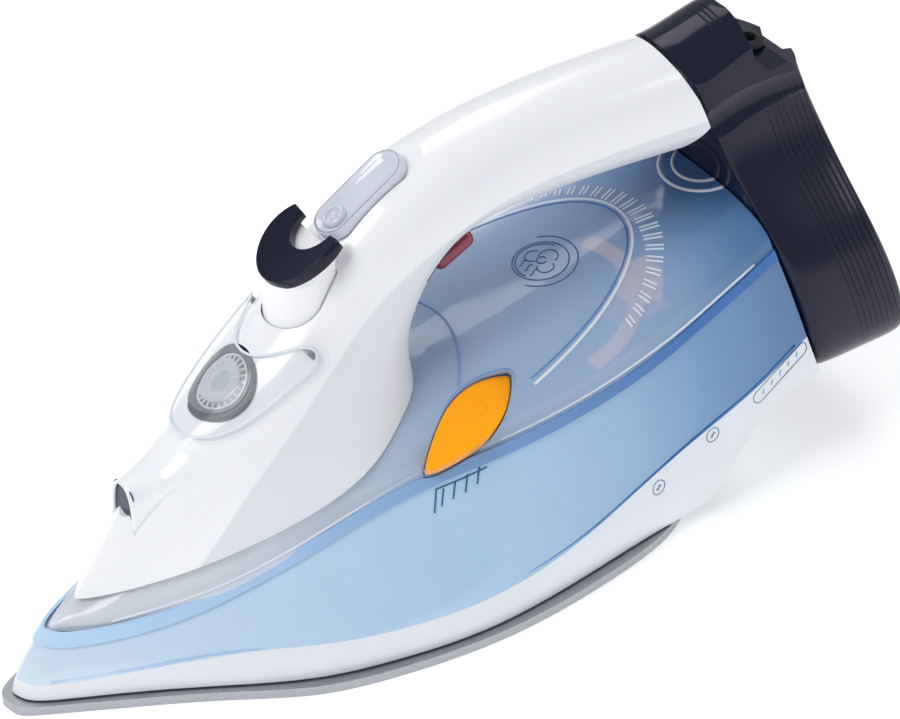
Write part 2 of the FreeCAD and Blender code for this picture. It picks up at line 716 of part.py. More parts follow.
def front_cover():
    """White upper shell: front cover, button housing and top of the handle."""
    feature("front_cover", largest(cover_shell().common(above(CREASE))))


def handle_lower():
    """Light grey lower shell: sides of the cover and underside of the handle."""
    lens = placed(Part.makeBox(*LENS_SIZE), LENS)
    feature("handle_lower", largest(cover_shell().common(below(CREASE)).cut(lens)))


LENS_SIZE = (17.0, 16.0, 7.0)
LENS = local_frame(Vector(149.0, -23.0, 109.0), Vector(0.80, 0, 0.60), Vector(-0.6, 0, 0.8))


def indicator():
    """Dark red lens low on the side of the handle, with its lamp board behind."""
    box = placed(Part.makeBox(*LENS_SIZE), LENS)
    rim = handle_form(-0.2).cut(handle_form(WALL - 0.2))
    feature("indicator_lens", largest(rim.common(box)))
    block_body("lamp_board", Placement(Vector(160, 0, 131), Rotation(Vector(0, 1, 0), -20)),
               "18.0 mm", "12.0 mm", "<<Dimensions>>.board_thickness")


def spray_nozzle():
    """Dark spray nozzle in the hood, with a fine jet insert."""
    body = revolved([(1.3, -10.5), (5.1, -10.5), (5.1, -1.0), (4.2, -1.0), (2.4, -4.0),
                     (1.3, -4.0)])
    feature("spray_nozzle", placed(body, NOZZLE))
    jet = revolved([(0.35, -6.0), (1.25, -6.0), (1.25, -2.4), (0.35, -2.4)])
    feature("nozzle_jet", placed(jet, NOZZLE))


# ---------------------------------------------------------------- controls

def steam_button():
    """White button block, navy cap, return spring, plunger and pump barrel."""
    top = polygon_prism([(90, 90), (125, 90), (125, 134.6), (101, 124.2), (90, 122.0)], 30)
    feature("button_block", button_outline(0.0, BLOCK_BOTTOM, 140).common(top))
    cap_low = polygon_prism([(90, 122.05), (101, 124.25), (125, 134.65), (125, 139.9),
                             (106, 131.5), (97.5, 129.6), (90, 129.6)], 30)
    crescent = button_outline(1.6, 110, 150).common(cap_low)
    bay = slot_prism(40, SHEET.slider_width + 3.4, -30, 60)
    crescent = crescent.cut(placed(bay, Placement(Vector(129.5, 0, 110), Rotation())))
    feature("button_cap", largest(crescent))
    stem = Placement(Vector(108.0, 0, 0), Rotation())
    plunger = Part.makeCylinder(2.6, 17.0, Vector(0, 0, BLOCK_BOTTOM - 17.0))
    feature("pump_plunger", placed(plunger, stem))
    barrel = revolved([(2.75, 77.6), (2.75, 88.0), (6.0, 88.0), (6.0, 76.0), (1.0, 76.0),
                       (1.0, 77.6)])
    feature("pump_barrel", placed(barrel, stem))
    spring = coil(4.6, 88.1, BLOCK_BOTTOM - 0.1, 4, SHEET.spring_wire)
    feature("button_spring", placed(spring, stem))


def steam_slider():
    """Translucent steam slider, its sliding track and the needle it lifts."""
    length = SHEET.slider_length
    width = SHEET.slider_width
    pill = slot_prism(length, width, -1.2, SHEET.slider_height - 1.2)
    well = Part.makeCylinder(4.2, 8, Vector(-length / 2 + 7.2, 0, 1.2))
    dish = Part.makeCylinder(22.0, 40, Vector(2.5, -20, 24.4), Vector(0, 1, 0))
    tail = Part.makeBox(5.0, 3.0, 8.0, Vector(-2.5, -1.5, -9.2))
    body = pill.cut(well).cut(dish).fuse(tail)
    feature("steam_slider", placed(body, SLIDER))
    track = slot_prism(length + SHEET.slider_travel + 5.0, width + 3.2, -3.4, -1.75)
    track.translate(Vector(SHEET.slider_travel / 2, 0, 0))
    groove = slot_prism(SHEET.slider_travel + 6.6, 3.8, -5, 0)
    groove.translate(Vector(SHEET.slider_travel / 2, 0, 0))
    inside = handle_form(WALL + 0.1)
    feature("slider_track", largest(placed(track.cut(groove), SLIDER).common(inside)))


CALC = local_frame(Vector(147.6, -36.0, 70.4), Vector(36.5, 10.0, 14.0), Vector(-0.27, -0.52, 0.81))


def calc_outline(grow, bottom, top):
    """Leaf-shaped block of the calc-clean button."""
    reach = SHEET.calc_length / 2 + grow
    w = SHEET.calc_width / 2 + grow
    half = [(-reach, 0), (-reach + 3.0, 0.30 * w), (-0.45 * reach, 0.72 * w), (0.05 * reach, w),
            (0.55 * reach, 0.80 * w), (reach - 2.2, 0.30 * w), (reach, 0)]
    row = mirrored_row([Vector(x, y, bottom) for x, y in half])
    return Part.Face(Part.Wire([closed_curve(row).toShape()])).extrude(Vector(0, 0, top - bottom))


def calc_clean():
    """Orange leaf button in its clear well, with its spring and valve stem."""
    button = calc_outline(0.0, -3.6, 12.0).common(
        Part.makeSphere(90.0, Vector(0, 0, 2.6 - 90.0)))
    feature("calc_clean_button", placed(button, CALC))
    well = calc_outline(1.6, -12.0, -3.2).cut(calc_outline(0.35, -10.6, 2.0))
    well = well.cut(Part.makeCylinder(1.9, 8, Vector(0, 0, -14)))
    feature("calc_clean_well", largest(placed(well, CALC).common(tank_top_form(WALL + 0.05))))
    feature("calc_clean_spring", placed(coil(3.6, -10.5, -3.7, 4, SHEET.spring_wire), CALC))
    feature("calc_clean_stem", placed(Part.makeCylinder(1.4, 17.0, Vector(0, 0, -20.6)), CALC))


def tank_internals():
    """Amber lever on its white bracket, seen through the clear tank."""
    ring = revolved([(33.0, 0), (37.5, 0), (37.5, 2.2), (33.0, 2.2)])
    wedge = Part.makeBox(60, 60, 10, Vector(0, -48, -2))
    arm = placed(ring.common(wedge), Placement(Vector(196, 0, 72), Rotation(Vector(0, 1, 0), -14)))
    block = Part.makeBox(11, 10, 11, Vector(226.0, -17.0, 72.0))
    inside = tank_top_form(WALL + 0.5).fuse(body_form(WALL + 0.5).common(below(RIM)))
    feature("amber_lever", largest(arm.fuse(block).common(inside)))
    foot = Part.makeBox(22, 16, 25, Vector(216, -22, 46.4)).cut(
        Part.makeBox(16, 10, 30, Vector(219, -19, 49)))
    feature("lever_bracket", largest(foot))


def feed_tubes():
    """Spray tube from the pump to the nozzle and steam feed below the tank."""
    spray = [Vector(56.3, 0, 62.55), Vector(63, 0, 63.0), Vector(74, 12.5, 67.5),
             Vector(98, 14.5, 78.5), Vector(108, 14.5, 82.0), Vector(108, 6.1, 82.0)]
    feature("spray_tube", tube(spray, [7.0, 12.0, 20.0, 3.4], SHEET.tube_radius, 0.8))
    valve = revolved([(0.8, 13.6), (2.9, 13.6), (2.9, 34.0), (5.0, 34.0), (5.0, 42.0), (0.8, 42.0)])
    feature("steam_valve", placed(valve, Placement(Vector(150, 0, 0), Rotation())))


# ---------------------------------------------------------------- heel

REST_LINE = [(322.9, 46.0), (301.1, 117.0)]

# openings for the wires through the heel's front wall: bottom, height
WIRE_WAYS = [(46.0, 8.0), (130.0, 14.0)]


def heel_crown(drop=0.0):
    """Rounded top of the heel: runs on from the handle and rises to the hook."""
    rows = []
    for x, top in ((215, 157.0), (232, 158.5), (246, 159.4), (258, 162.2), (266, 164.2),
                   (290, 165.0), (345, 160.0)):
        half = [(0, 0), (5.5, -0.9), (11, -4.2), (15.5, -10), (18.4, -19), (22, -36), (60, -80),
                (60, -200), (0, -200)]
        rows.append(mirrored_row([Vector(x, y, top + z - drop) for y, z in half]))
    return skin(rows)


def rest_cut():
    """Space behind the flat face that the iron stands on."""
    (low_x, low_z), (high_x, high_z) = REST_LINE
    lean = (low_x - high_x) / (high_z - low_z)
    foot = (low_x + lean * (low_z + 20), -20.0)
    head = (low_x - lean * (200 - low_z), 200.0)
    return polygon_prism([foot, head, (400, 200), (400, -20)], 90)


def heel_cap():
    """Navy heel cap with its cord hook and the flat face to stand on."""
    inner = heel_form(WALL).common(above([(200, 38 + WALL), (350, 38 + WALL)]))
    inner = inner.common(heel_crown(1.6 * WALL)).common(below(HEEL_ROOF))
    shell = heel_form().common(heel_crown()).cut(inner)
    for bottom, height in WIRE_WAYS:
        shell = shell.cut(Part.makeBox(60, 16, height, Vector(235, -8, bottom)))
    bay = polygon_prism([(264.5, 190), (268.3, 159), (270.5, 150), (276, 144.6), (284, 145),
                         (293, 143), (340, 138), (340, 190)], 60)
    shell = shell.cut(bay).cut(rest_cut())
    gland = placed(Part.makeCylinder(SHEET.gland_radius - 1.9, 40, Vector(0, 0, -20)), GLAND)
    feature("heel_cap", largest(shell.cut(gland)))


GLAND = local_frame(Vector(280.0, 0, 143.2), Vector(0, 1, 0), Vector(0.05, 0, 1.0))


def cord_parts():
    """Cord gland in the heel bay, its clamp and the terminal block below."""
    r = SHEET.gland_radius
    rings = [(2.6, -6.4), (r, -6.4), (r, -4.2), (r - 2.1, -4.2), (r - 2.1, 2.8), (r - 1.0, 2.8),
             (r - 1.4, 3.6), (r - 3.4, 4.2), (3.0, 4.2), (2.6, 3.0)]
    feature("cord_gland", placed(revolved(rings), GLAND))
    block_body("cord_clamp", Placement(Vector(275, 0, 122), Rotation()), "14.0 mm", "22.0 mm",
               "4.0 mm")
    block_body("terminal_block", Placement(Vector(283, 0, 78), Rotation()), "12.0 mm", "30.0 mm",
               "16.0 mm")
    block_body("control_board", Placement(Vector(300, 0, 42.4), Rotation()), "26.0 mm", "52.0 mm",
               "<<Dimensions>>.board_thickness")


def screws():
    """Pan-head screws holding the chamber cover, as one group."""
    head_at = PLATFORM_TOP + SHEET.chamber_height + SHEET.cover_thickness
    heads = []
    for x in (104, 196):
        heads.append(Part.makeCylinder(SHEET.screw_head_radius, 1.6, Vector(x, 0, head_at)))
    feature("cover_screws", Part.makeCompound(heads))


# ---------------------------------------------------------------- build

def write_out():
    """Check every object and sub-part, then write one file for each sub-part."""
    DOC.recompute()
    for item in DOC.Objects:
        faults = [state for state in item.State if state in ("Invalid", "Error")]
        if faults:
            raise RuntimeError(f"{item.Label}: {faults}")
    bad = [part.Label for part in SUB_PARTS if part.Shape.isNull() or not part.Shape.isValid()]
    if bad:
        raise RuntimeError(f"bad shapes: {bad}")
    os.makedirs("parts", exist_ok=True)
    for part in SUB_PARTS:
        part.Shape.exportStep(f"parts/{part.Label}.step")
        print(part.Label, round(part.Shape.Volume), len(part.Shape.Solids))


soleplate()
sole_platform()
heating_element()
chamber_cover()
heat_sensors()
skirt()
tank_lower()
weld_rim()
tank_upper()
fill_funnel()
funnel_seal()
fill_lid()
lid_plug()
plug_seal()
front_cover()
handle_lower()
indicator()
spray_nozzle()
steam_button()
steam_slider()
calc_clean()
tank_internals()
feed_tubes()
heel_cap()
cord_parts()
screws()
write_out()
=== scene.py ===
"""Steam clothes iron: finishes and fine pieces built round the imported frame.

Places are given in millimetres: ahead of the nose of the soleplate, aside of the middle
plane and up from the ironing surface. Everything handed to Blender is in metres.
"""
from __future__ import annotations

import logging
import math
from dataclasses import dataclass, field
from enum import Enum
from typing import Callable, Iterable, Optional, Sequence

import bmesh
import bpy
from mathutils import Matrix, Vector
from mathutils.bvhtree import BVHTree


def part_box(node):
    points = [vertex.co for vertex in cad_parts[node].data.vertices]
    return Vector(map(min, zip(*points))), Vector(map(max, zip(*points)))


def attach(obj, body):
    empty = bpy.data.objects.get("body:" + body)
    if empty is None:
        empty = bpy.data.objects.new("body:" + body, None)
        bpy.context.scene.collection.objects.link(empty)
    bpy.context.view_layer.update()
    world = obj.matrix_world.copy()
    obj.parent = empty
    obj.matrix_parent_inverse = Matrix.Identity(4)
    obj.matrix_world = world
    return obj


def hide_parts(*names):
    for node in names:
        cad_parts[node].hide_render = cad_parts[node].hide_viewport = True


logging.basicConfig(level=logging.INFO, format="%(name)s: %(message)s")
LOG = logging.getLogger("iron")

MM = 0.001
DOWN = Vector((0.0, 0.0, -1.0))
Pair = tuple[float, float]
Triple = tuple[float, float, float]
Shades = tuple[tuple[float, str], ...]
SIDES = ((-1, "left"), (1, "right"))

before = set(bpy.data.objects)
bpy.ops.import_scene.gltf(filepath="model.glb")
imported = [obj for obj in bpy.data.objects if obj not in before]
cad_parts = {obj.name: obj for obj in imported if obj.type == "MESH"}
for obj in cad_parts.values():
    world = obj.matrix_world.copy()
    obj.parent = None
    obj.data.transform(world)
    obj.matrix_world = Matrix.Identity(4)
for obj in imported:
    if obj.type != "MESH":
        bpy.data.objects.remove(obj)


class Body(Enum):
    """The bodies that pieces ride on."""

    IRON = "iron"
    LID = "lid"
    BUTTON = "steam_button"
    SLIDER = "slider"
    CALC = "calc_button"


# ---------------------------------------------------------------- shader helpers


def linear(hex_colour: str) -> tuple[float, float, float, float]:
    """Turn an sRGB hex colour into linear light.

    Args:
        hex_colour: Six hex digits with or without a leading hash.

    Returns:
        Red, green, blue and a full alpha.
    """
    digits = hex_colour.lstrip("#")
    parts = [int(digits[i:i + 2], 16) / 255.0 for i in (0, 2, 4)]
    light = [c / 12.92 if c <= 0.04045 else ((c + 0.055) / 1.055) ** 2.4 for c in parts]
    return (light[0], light[1], light[2], 1.0)


def add(tree: bpy.types.NodeTree, kind: str, settings: Optional[dict] = None,
        links: Optional[dict] = None) -> bpy.types.Node:
    """Add a shader node.

    Args:
        tree: The node tree it goes in.
        kind: The node's Blender type.
        settings: Attributes, or input sockets by name or number, with their values.
        links: Input sockets by name or number, with the output socket that feeds each.

    Returns:
        The new node.
    """
    node = tree.nodes.new(kind)
    for key, value in (settings or {}).items():
        if isinstance(key, str) and hasattr(node, key):
            setattr(node, key, value)
        else:
            node.inputs[key].default_value = value
    for key, source in (links or {}).items():
        tree.links.new(source, node.inputs[key])
    return node


def begin(name: str) -> tuple[bpy.types.Material, bpy.types.Node, bpy.types.Node]:
    """Start a node material.

    Args:
        name: The material's name.

    Returns:
        The material, its main shader and a texture coordinate node.
    """
    material = bpy.data.materials.new(name)
    material.use_nodes = True
    tree = material.node_tree
    return material, tree.nodes["Principled BSDF"], add(tree, "ShaderNodeTexCoord")


def ramp_colours(node: bpy.types.Node, stops: Shades) -> None:
    """Give a colour ramp its stops.

    Args:
        node: The colour ramp node.
        stops: Position from 0 to 1 and hex colour of each stop, in order.
    """
    elements = node.color_ramp.elements
    while len(elements) < len(stops):
        elements.new(1.0)
    for element, (position, colour) in zip(elements, stops):
        element.position = position
        element.color = linear(colour)


@dataclass(frozen=True)
class Plastic:
    """A moulded plastic, clear or solid.

    Attributes:
        name: Material name.
        colour: Its hex colour, or positions and colours along the iron from nose to heel, where
            the ramp also holds painted light and shade.
        roughness: Roughness of the skin.
        ior: Refractive index of the resin.
        coat: Strength of the polished skin.
        alpha: How much the wall hides what is behind it.
        grain_mm: Size of the mould texture.
        grain_depth: Height of the mould texture as bump strength.
        cloud: How far the resin's colour wanders, from 0 to 1.
        subsurface: Share of light scattered under the skin.
        specular: Strength of the bare skin's reflection, 0.5 being the resin's own.
        painted_glow: Emission on the surface: a painted glow on a resin that is no lamp, and the
            floor's even brightness.
    """

    name: str
    colour: str | Shades
    roughness: float = 0.25
    ior: float = 1.5
    coat: float = 0.0
    alpha: float = 1.0
    grain_mm: float = 0.6
    grain_depth: float = 0.02
    cloud: float = 0.04
    subsurface: float = 0.0
    specular: float = 0.5
    painted_glow: float = 0.0

    def make(self) -> bpy.types.Material:
        """Build the material, once.

        Returns:
            The material of this finish.
        """
        known = bpy.data.materials.get(self.name)
        if known is not None:
            return known
        material, shader, place = begin(self.name)
        tree = material.node_tree
        resin = self._resin_colour_and_shade(tree, place)
        flow = add(tree, "ShaderNodeTexNoise", {"Scale": 1.0 / (18.0 * MM), "Detail": 3.0},
                   {"Vector": place.outputs["Object"]})
        tint = add(tree, "ShaderNodeMapRange",
                   {"To Min": 1.0 - self.cloud, "To Max": 1.0 + self.cloud},
                   {"Value": flow.outputs["Fac"]})
        tinted = add(tree, "ShaderNodeHueSaturation", {},
                     {"Color": resin, "Value": tint.outputs[0]})
        tree.links.new(tinted.outputs["Color"], shader.inputs["Base Color"])
        tree.links.new(tinted.outputs["Color"], shader.inputs["Emission Color"])
        grain = add(tree, "ShaderNodeTexNoise",
                    {"Scale": 1.0 / (self.grain_mm * MM), "Detail": 2.0},
                    {"Vector": place.outputs["Object"]})
        wear = add(tree, "ShaderNodeMapRange",
                   {"To Min": self.roughness * 0.85, "To Max": self.roughness * 1.2},
                   {"Value": flow.outputs["Fac"]})
        tree.links.new(wear.outputs[0], shader.inputs["Roughness"])
        bump = add(tree, "ShaderNodeBump", {"Strength": self.grain_depth, "Distance": 0.1 * MM},
                   {"Height": grain.outputs["Fac"]})
        tree.links.new(bump.outputs["Normal"], shader.inputs["Normal"])
        # Emission Strength paints a glow on resins that are no lamp, and keeps the floor evenly
        # bright.
        settings = {"IOR": self.ior, "Coat Weight": self.coat, "Coat Roughness": 0.04,
                    "Alpha": self.alpha, "Subsurface Weight": self.subsurface,
                    "Subsurface Scale": 3.0 * MM, "Specular IOR Level": self.specular,
                    "Emission Strength": self.painted_glow}
        for socket, value in settings.items():
            shader.inputs[socket].default_value = value
        return material

    def _resin_colour_and_shade(self, tree: bpy.types.NodeTree, place: bpy.types.Node) -> bpy.types.NodeSocket:
        """Build the resin's colour: one hex colour, or a ramp along the iron that also holds
        painted light and shade.

        Args:
            tree: The material's node tree.
            place: The texture coordinate node.

        Returns:
            The socket that carries the colour.
        """
        if isinstance(self.colour, str):
            node = add(tree, "ShaderNodeRGB")
            node.outputs[0].default_value = linear(self.colour)
            return node.outputs[0]
        # Ramp along the iron, nose to heel: the resin's tint together with painted light and
        # shade.
        low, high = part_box("soleplate")[0].x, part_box("heel_cap")[1].x
        axis = add(tree, "ShaderNodeSeparateXYZ", {}, {0: place.outputs["Object"]})
        along = add(tree, "ShaderNodeMapRange", {"From Min": low, "From Max": high},
                    {"Value": axis.outputs["X"]})
        ramp = add(tree, "ShaderNodeValToRGB", {}, {"Fac": along.outputs[0]})
        ramp_colours(ramp, self.colour)
        return ramp.outputs["Color"]


@dataclass(frozen=True)
class Metal:
    """A bare metal with brushed or cast texture.

    Attributes:
        name: Material name.
        light: Lighter colour of the metal.
        dark: Darker colour of the metal.
        roughness: Roughness of the surface.
        streak_mm: Width of the brushed lines, or size of the cast grain.
        stretch: How much longer the streaks are along the iron.
        depth: Bump strength of the streaks.
    """

    name: str
    light: str
    dark: str
    roughness: float = 0.3
    streak_mm: float = 0.5
    stretch: float = 1.0
    depth: float = 0.08

    def make(self) -> bpy.types.Material:
        """Build the material, once.

        Returns:
            The material of this finish.
        """
        known = bpy.data.materials.get(self.name)
        if known is not None:
            return known
        material, shader, place = begin(self.name)
        tree = material.node_tree
        lined = add(tree, "ShaderNodeMapping", {"Scale": (1.0 / self.stretch, 1.0, 1.0)},
                    {"Vector": place.outputs["Object"]})
        streaks = add(tree, "ShaderNodeTexNoise",
                      {"Scale": 1.0 / (self.streak_mm * MM), "Detail": 3.0, "Roughness": 0.6},
                      {"Vector": lined.outputs["Vector"]})
        ramp = add(tree, "ShaderNodeValToRGB", {}, {"Fac": streaks.outputs["Fac"]})
        ramp_colours(ramp, ((0.3, self.dark), (0.7, self.light)))
        tree.links.new(ramp.outputs["Color"], shader.inputs["Base Color"])
        polish = add(tree, "ShaderNodeMapRange",
                     {"To Min": self.roughness * 0.8, "To Max": self.roughness * 1.3},
                     {"Value": streaks.outputs["Fac"]})
        tree.links.new(polish.outputs[0], shader.inputs["Roughness"])
        bump = add(tree, "ShaderNodeBump", {"Strength": self.depth, "Distance": 0.05 * MM},
                   {"Height": streaks.outputs["Fac"]})
        tree.links.new(bump.outputs["Normal"], shader.inputs["Normal"])
        shader.inputs["Metallic"].default_value = 1.0
        return material


# Polished and brushed aluminium plate: even grey with fine lengthwise scratches.
SOLE_METAL = Metal("brushed_aluminium_sole", "#b4b7bb", "#a3a6aa", 0.34, 0.35, 30.0, 0.05)
# Die-cast aluminium: darker, with a coarse matt skin.
CAST_METAL = Metal("die_cast_aluminium", "#8f9399", "#6d7177", 0.42, 0.7, 8.0, 0.15)
# Drawn stainless steel: bright, with fine draw lines.
STEEL = Metal("drawn_stainless_steel", "#b9bcc0", "#8d9095", 0.28, 0.4, 8.0, 0.08)
# Turned brass: warm yellow with turning rings.
BRASS = Metal("turned_brass", "#d9b566", "#a98238", 0.25, 0.3, 1.0, 0.10)

# Gloss white ABS: bright, soft wide highlights, almost no mould texture.
WHITE_ABS = Plastic("gloss_white_abs", "#f5f5f7", 0.24, 1.52, 0.35, grain_depth=0.015, cloud=0.012,
                    subsurface=0.08)
# White heat-resistant polyester: slightly cooler and duller than the handle.
WHITE_PBT = Plastic("white_pbt_skirt", "#e6ebee", 0.34, 1.54, 0.10, grain_depth=0.04, cloud=0.02)
# Light grey satin ABS for the underside of the handle.
GREY_ABS = Plastic("satin_grey_abs", "#e0e3e8", 0.36, 1.52, 0.10, grain_depth=0.05, cloud=0.015)
# Translucent blue SAN, pale at the nose and deepening toward the heel: the ramp is partly the
# resin's tint and partly painted shade on the rear of the tank.
BLUE_SAN = Plastic(
    "translucent_blue_san",
    ((0.0, "#d6e6f4"), (0.2, "#c8e0f5"), (0.42, "#b6d4ee"), (0.60, "#9cbedf"),
     (0.72, "#6b98c6"), (0.82, "#4878ac"), (1.0, "#4274a8")),
    0.16, 1.56, 0.4, 0.95, grain_depth=0.008, cloud=0.04, subsurface=0.12)
# The welded seam of the same resin, twice as thick, so deeper in colour; its ramp also darkens
# toward the heel with painted shade.
RIM_SAN = Plastic(
    "welded_blue_san_rim",
    ((0.0, "#c2def8"), (0.2, "#b2d2f2"), (0.4, "#85aad6"), (0.7, "#3870b6"), (1.0, "#3068ae")),
    0.20, 1.56, 0.15, 0.97, cloud=0.04, specular=0.3)
# Clear smoke-blue polycarbonate: shows the works behind it, with crisp highlights; its ramp is
# partly the resin's tint, with painted light toward the nose and painted shade toward the heel.
SMOKE_PC = Plastic(
    "clear_smoke_blue_polycarbonate",
    ((0.0, "#f8fbff"), (0.25, "#eaf2fb"), (0.42, "#b9cfe9"), (0.60, "#b0cbea"),
     (0.70, "#a0bfe4"), (0.78, "#6894c8"), (0.86, "#3c6eac"), (1.0, "#2c5c9c")),
    0.08, 1.58, 0.4, 0.6, grain_mm=3.0, grain_depth=0.004, cloud=0.04, specular=0.35)
# Clear polycarbonate for the filling lid.
CLEAR_PC = Plastic("clear_polycarbonate", "#f4f8fc", 0.06, 1.58, 0.8, 0.16, cloud=0.01)
# The same resin, thick and finely frosted, for the plug under the lid.
PLUG_PC = Plastic("frosted_polycarbonate_plug", "#dde4ec", 0.22, 1.58, 0.5, 0.55, cloud=0.05)
# Lavender translucent polycarbonate for the slider.
LAVENDER_PC = Plastic("lavender_polycarbonate", "#dde2f0", 0.12, 1.58, 0.6, 0.9, cloud=0.04,
                      subsurface=0.1)
# Deep navy gloss ABS: nearly black, with a sharp but weak shine.
NAVY_ABS = Plastic("gloss_navy_abs", "#14162c", 0.16, 1.52, 0.10, cloud=0.08, grain_depth=0.015,
                   specular=0.22)
# Dark blue-grey glass-filled nylon.
DARK_NYLON = Plastic("dark_blue_nylon", "#223046", 0.42, 1.53, cloud=0.08, grain_depth=0.10)
# Black EPDM rubber: dull, with a fine skin.
RUBBER = Plastic("black_epdm_rubber", "#101114", 0.62, 1.50, cloud=0.10, grain_depth=0.20)
# Orange gloss acetal, with a faint painted glow.
ORANGE_POM = Plastic("gloss_orange_acetal", "#ffa400", 0.16, 1.48, 0.2, cloud=0.05,
                     specular=0.3, painted_glow=0.12)
# Amber translucent polycarbonate, given a strong painted glow so that it shows bright through the
# clear top.
AMBER_PC = Plastic("amber_polycarbonate", "#ffb030", 0.20, 1.58, 0.3, cloud=0.06, painted_glow=0.7)
# Dark red translucent lens.
RED_PC = Plastic("dark_red_polycarbonate", "#7d1230", 0.12, 1.58, 0.5, cloud=0.08, specular=0.3)
# Green glass-fibre laminate.
LAMINATE = Plastic("green_fibreglass_laminate", "#2c6e49", 0.5, 1.55, cloud=0.10, grain_depth=0.1)
# Natural acetal: milky white.
NATURAL_POM = Plastic("natural_acetal", "#d9dce2", 0.36, 1.48, cloud=0.03, subsurface=0.2)
# Pad-printed teal ink.
TEAL_INK = Plastic("pad_printed_teal_ink", "#1c6590", 0.38, 1.5, cloud=0.08)
# Matt white laminate of the table, bright enough to run into the pale room.
TABLE = Plastic("matt_white_table", "#fdfdfd", 0.7, cloud=0.0, painted_glow=0.35)
# Frosted moulded relief: the clear resin, whitened. The same white also paints the highlight along
# the rim.
FROST_AND_HIGHLIGHT = Plastic("frosted_relief_and_painted_highlight", "#e9f0f8", 0.30, 1.5, 0.2, 0.9, cloud=0.03)


def dress(finishes: dict[str, Plastic | Metal]) -> None:
    """Give frame nodes their finishes.

    Args:
        finishes: The finish of each node.
    """
    for name, finish in finishes.items():
        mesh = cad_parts[name].data
        mesh.materials.clear()
        mesh.materials.append(finish.make())
        LOG.info("dressed %s in %s", name, finish.name)


# ---------------------------------------------------------------- laying out


@dataclass
class Layout:
    """Where the nose is, so that places can be given from it.

    Attributes:
        nose: The x of the soleplate's nose in the frame.
    """

    nose: float = field(default_factory=lambda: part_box("soleplate")[0].x)

    def at(self, ahead: float, aside: float, up: float) -> Vector:
        """Point in the frame from millimetres.

        Args:
            ahead: Distance from the nose.
            aside: Distance from the middle plane, positive to the right-hand side.
            up: Height above the ironing surface.

        Returns:
            The point in metres.
        """
        return Vector((self.nose + ahead * MM, aside * MM, up * MM))


LAYOUT = Layout()


class Skin:
    """The outer surface of one frame node, for laying fine pieces on."""

    def __init__(self, node: str) -> None:
        """Read the node's mesh into a search tree.

        Args:
            node: The frame node.
        """
        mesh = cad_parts[node].data
        corners = [v.co for v in mesh.vertices]
        self.tree = BVHTree.FromPolygons(corners, [p.vertices for p in mesh.polygons])

    def drop(self, start: Vector, way: Vector, lift: float = 0.0) -> Optional[Vector]:
        """Follow a straight way to the surface.

        Args:
            start: Where the way begins.
            way: Its direction.
            lift: How far above the surface the point ends, in metres.

        Returns:
            The point, or None where the way misses.
        """
        place, normal, _, _ = self.tree.ray_cast(start, way)
        if place is None:
            return None
        if normal.dot(way) > 0:
            normal = -normal
        return place + normal * lift

    def over(self, ahead: float, aside: float, lift: float = 0.0) -> Optional[Vector]:
        """Point on the surface straight under a place in plan, in millimetres."""
        return self.drop(LAYOUT.at(ahead, aside, 400.0), DOWN, lift)

    def beside(self, ahead: float, up: float, side: int, lift: float = 0.0) -> Optional[Vector]:
        """Point on the surface seen level from one side, in millimetres."""
        return self.drop(LAYOUT.at(ahead, side * 200.0, up), Vector((0.0, -side, 0.0)), lift)


def as_mesh(bm: bmesh.types.BMesh, name: str) -> bpy.types.Mesh:
    """Write a bmesh into a new mesh and free it.

    Args:
        bm: The bmesh.
        name: Name of the new mesh.

    Returns:
        The new mesh.
    """
    mesh = bpy.data.meshes.new(name)
    bm.to_mesh(mesh)
    bm.free()
    return mesh


def round_edges(bm: bmesh.types.BMesh, sharp: float, width_mm: float,
                clamp: bool = False) -> None:
    """Round the sharp edges of a bmesh.

    Args:
        bm: The bmesh.
        sharp: Smallest angle between faces that counts as an edge, in radians.
        width_mm: Size of the rounding.
        clamp: Whether the rounding stops where edges would cross.
    """
    edges = [e for e in bm.edges if len(e.link_faces) == 2 and e.calc_face_angle(0.0) > sharp]
    bmesh.ops.bevel(bm, geom=edges, offset=width_mm * MM, segments=3, profile=0.5,
                    affect="EDGES", clamp_overlap=clamp, material=-1)


def lean_and_place(bm: bmesh.types.BMesh, slope: float, place: Triple) -> None:
    """Tilt a bmesh up toward the heel and move it to its place.

    Args:
        bm: The bmesh.
        slope: The tilt in degrees.
        place: Where its origin goes, in millimetres ahead, aside and up.
    """
    turn = Matrix.Rotation(-math.radians(slope), 3, "Y")
    bmesh.ops.rotate(bm, cent=(0.0, 0.0, 0.0), matrix=turn, verts=bm.verts)
    bmesh.ops.translate(bm, vec=LAYOUT.at(*place), verts=bm.verts)


def spaced(first: float, last: float, count: int) -> list[float]:
    """Evenly spaced numbers.

    Args:
        first: The first number.
        last: The last number.
        count: How many numbers.

    Returns:
        The numbers, ends included.
    """
    return [first + (last - first) * i / (count - 1) for i in range(count)]


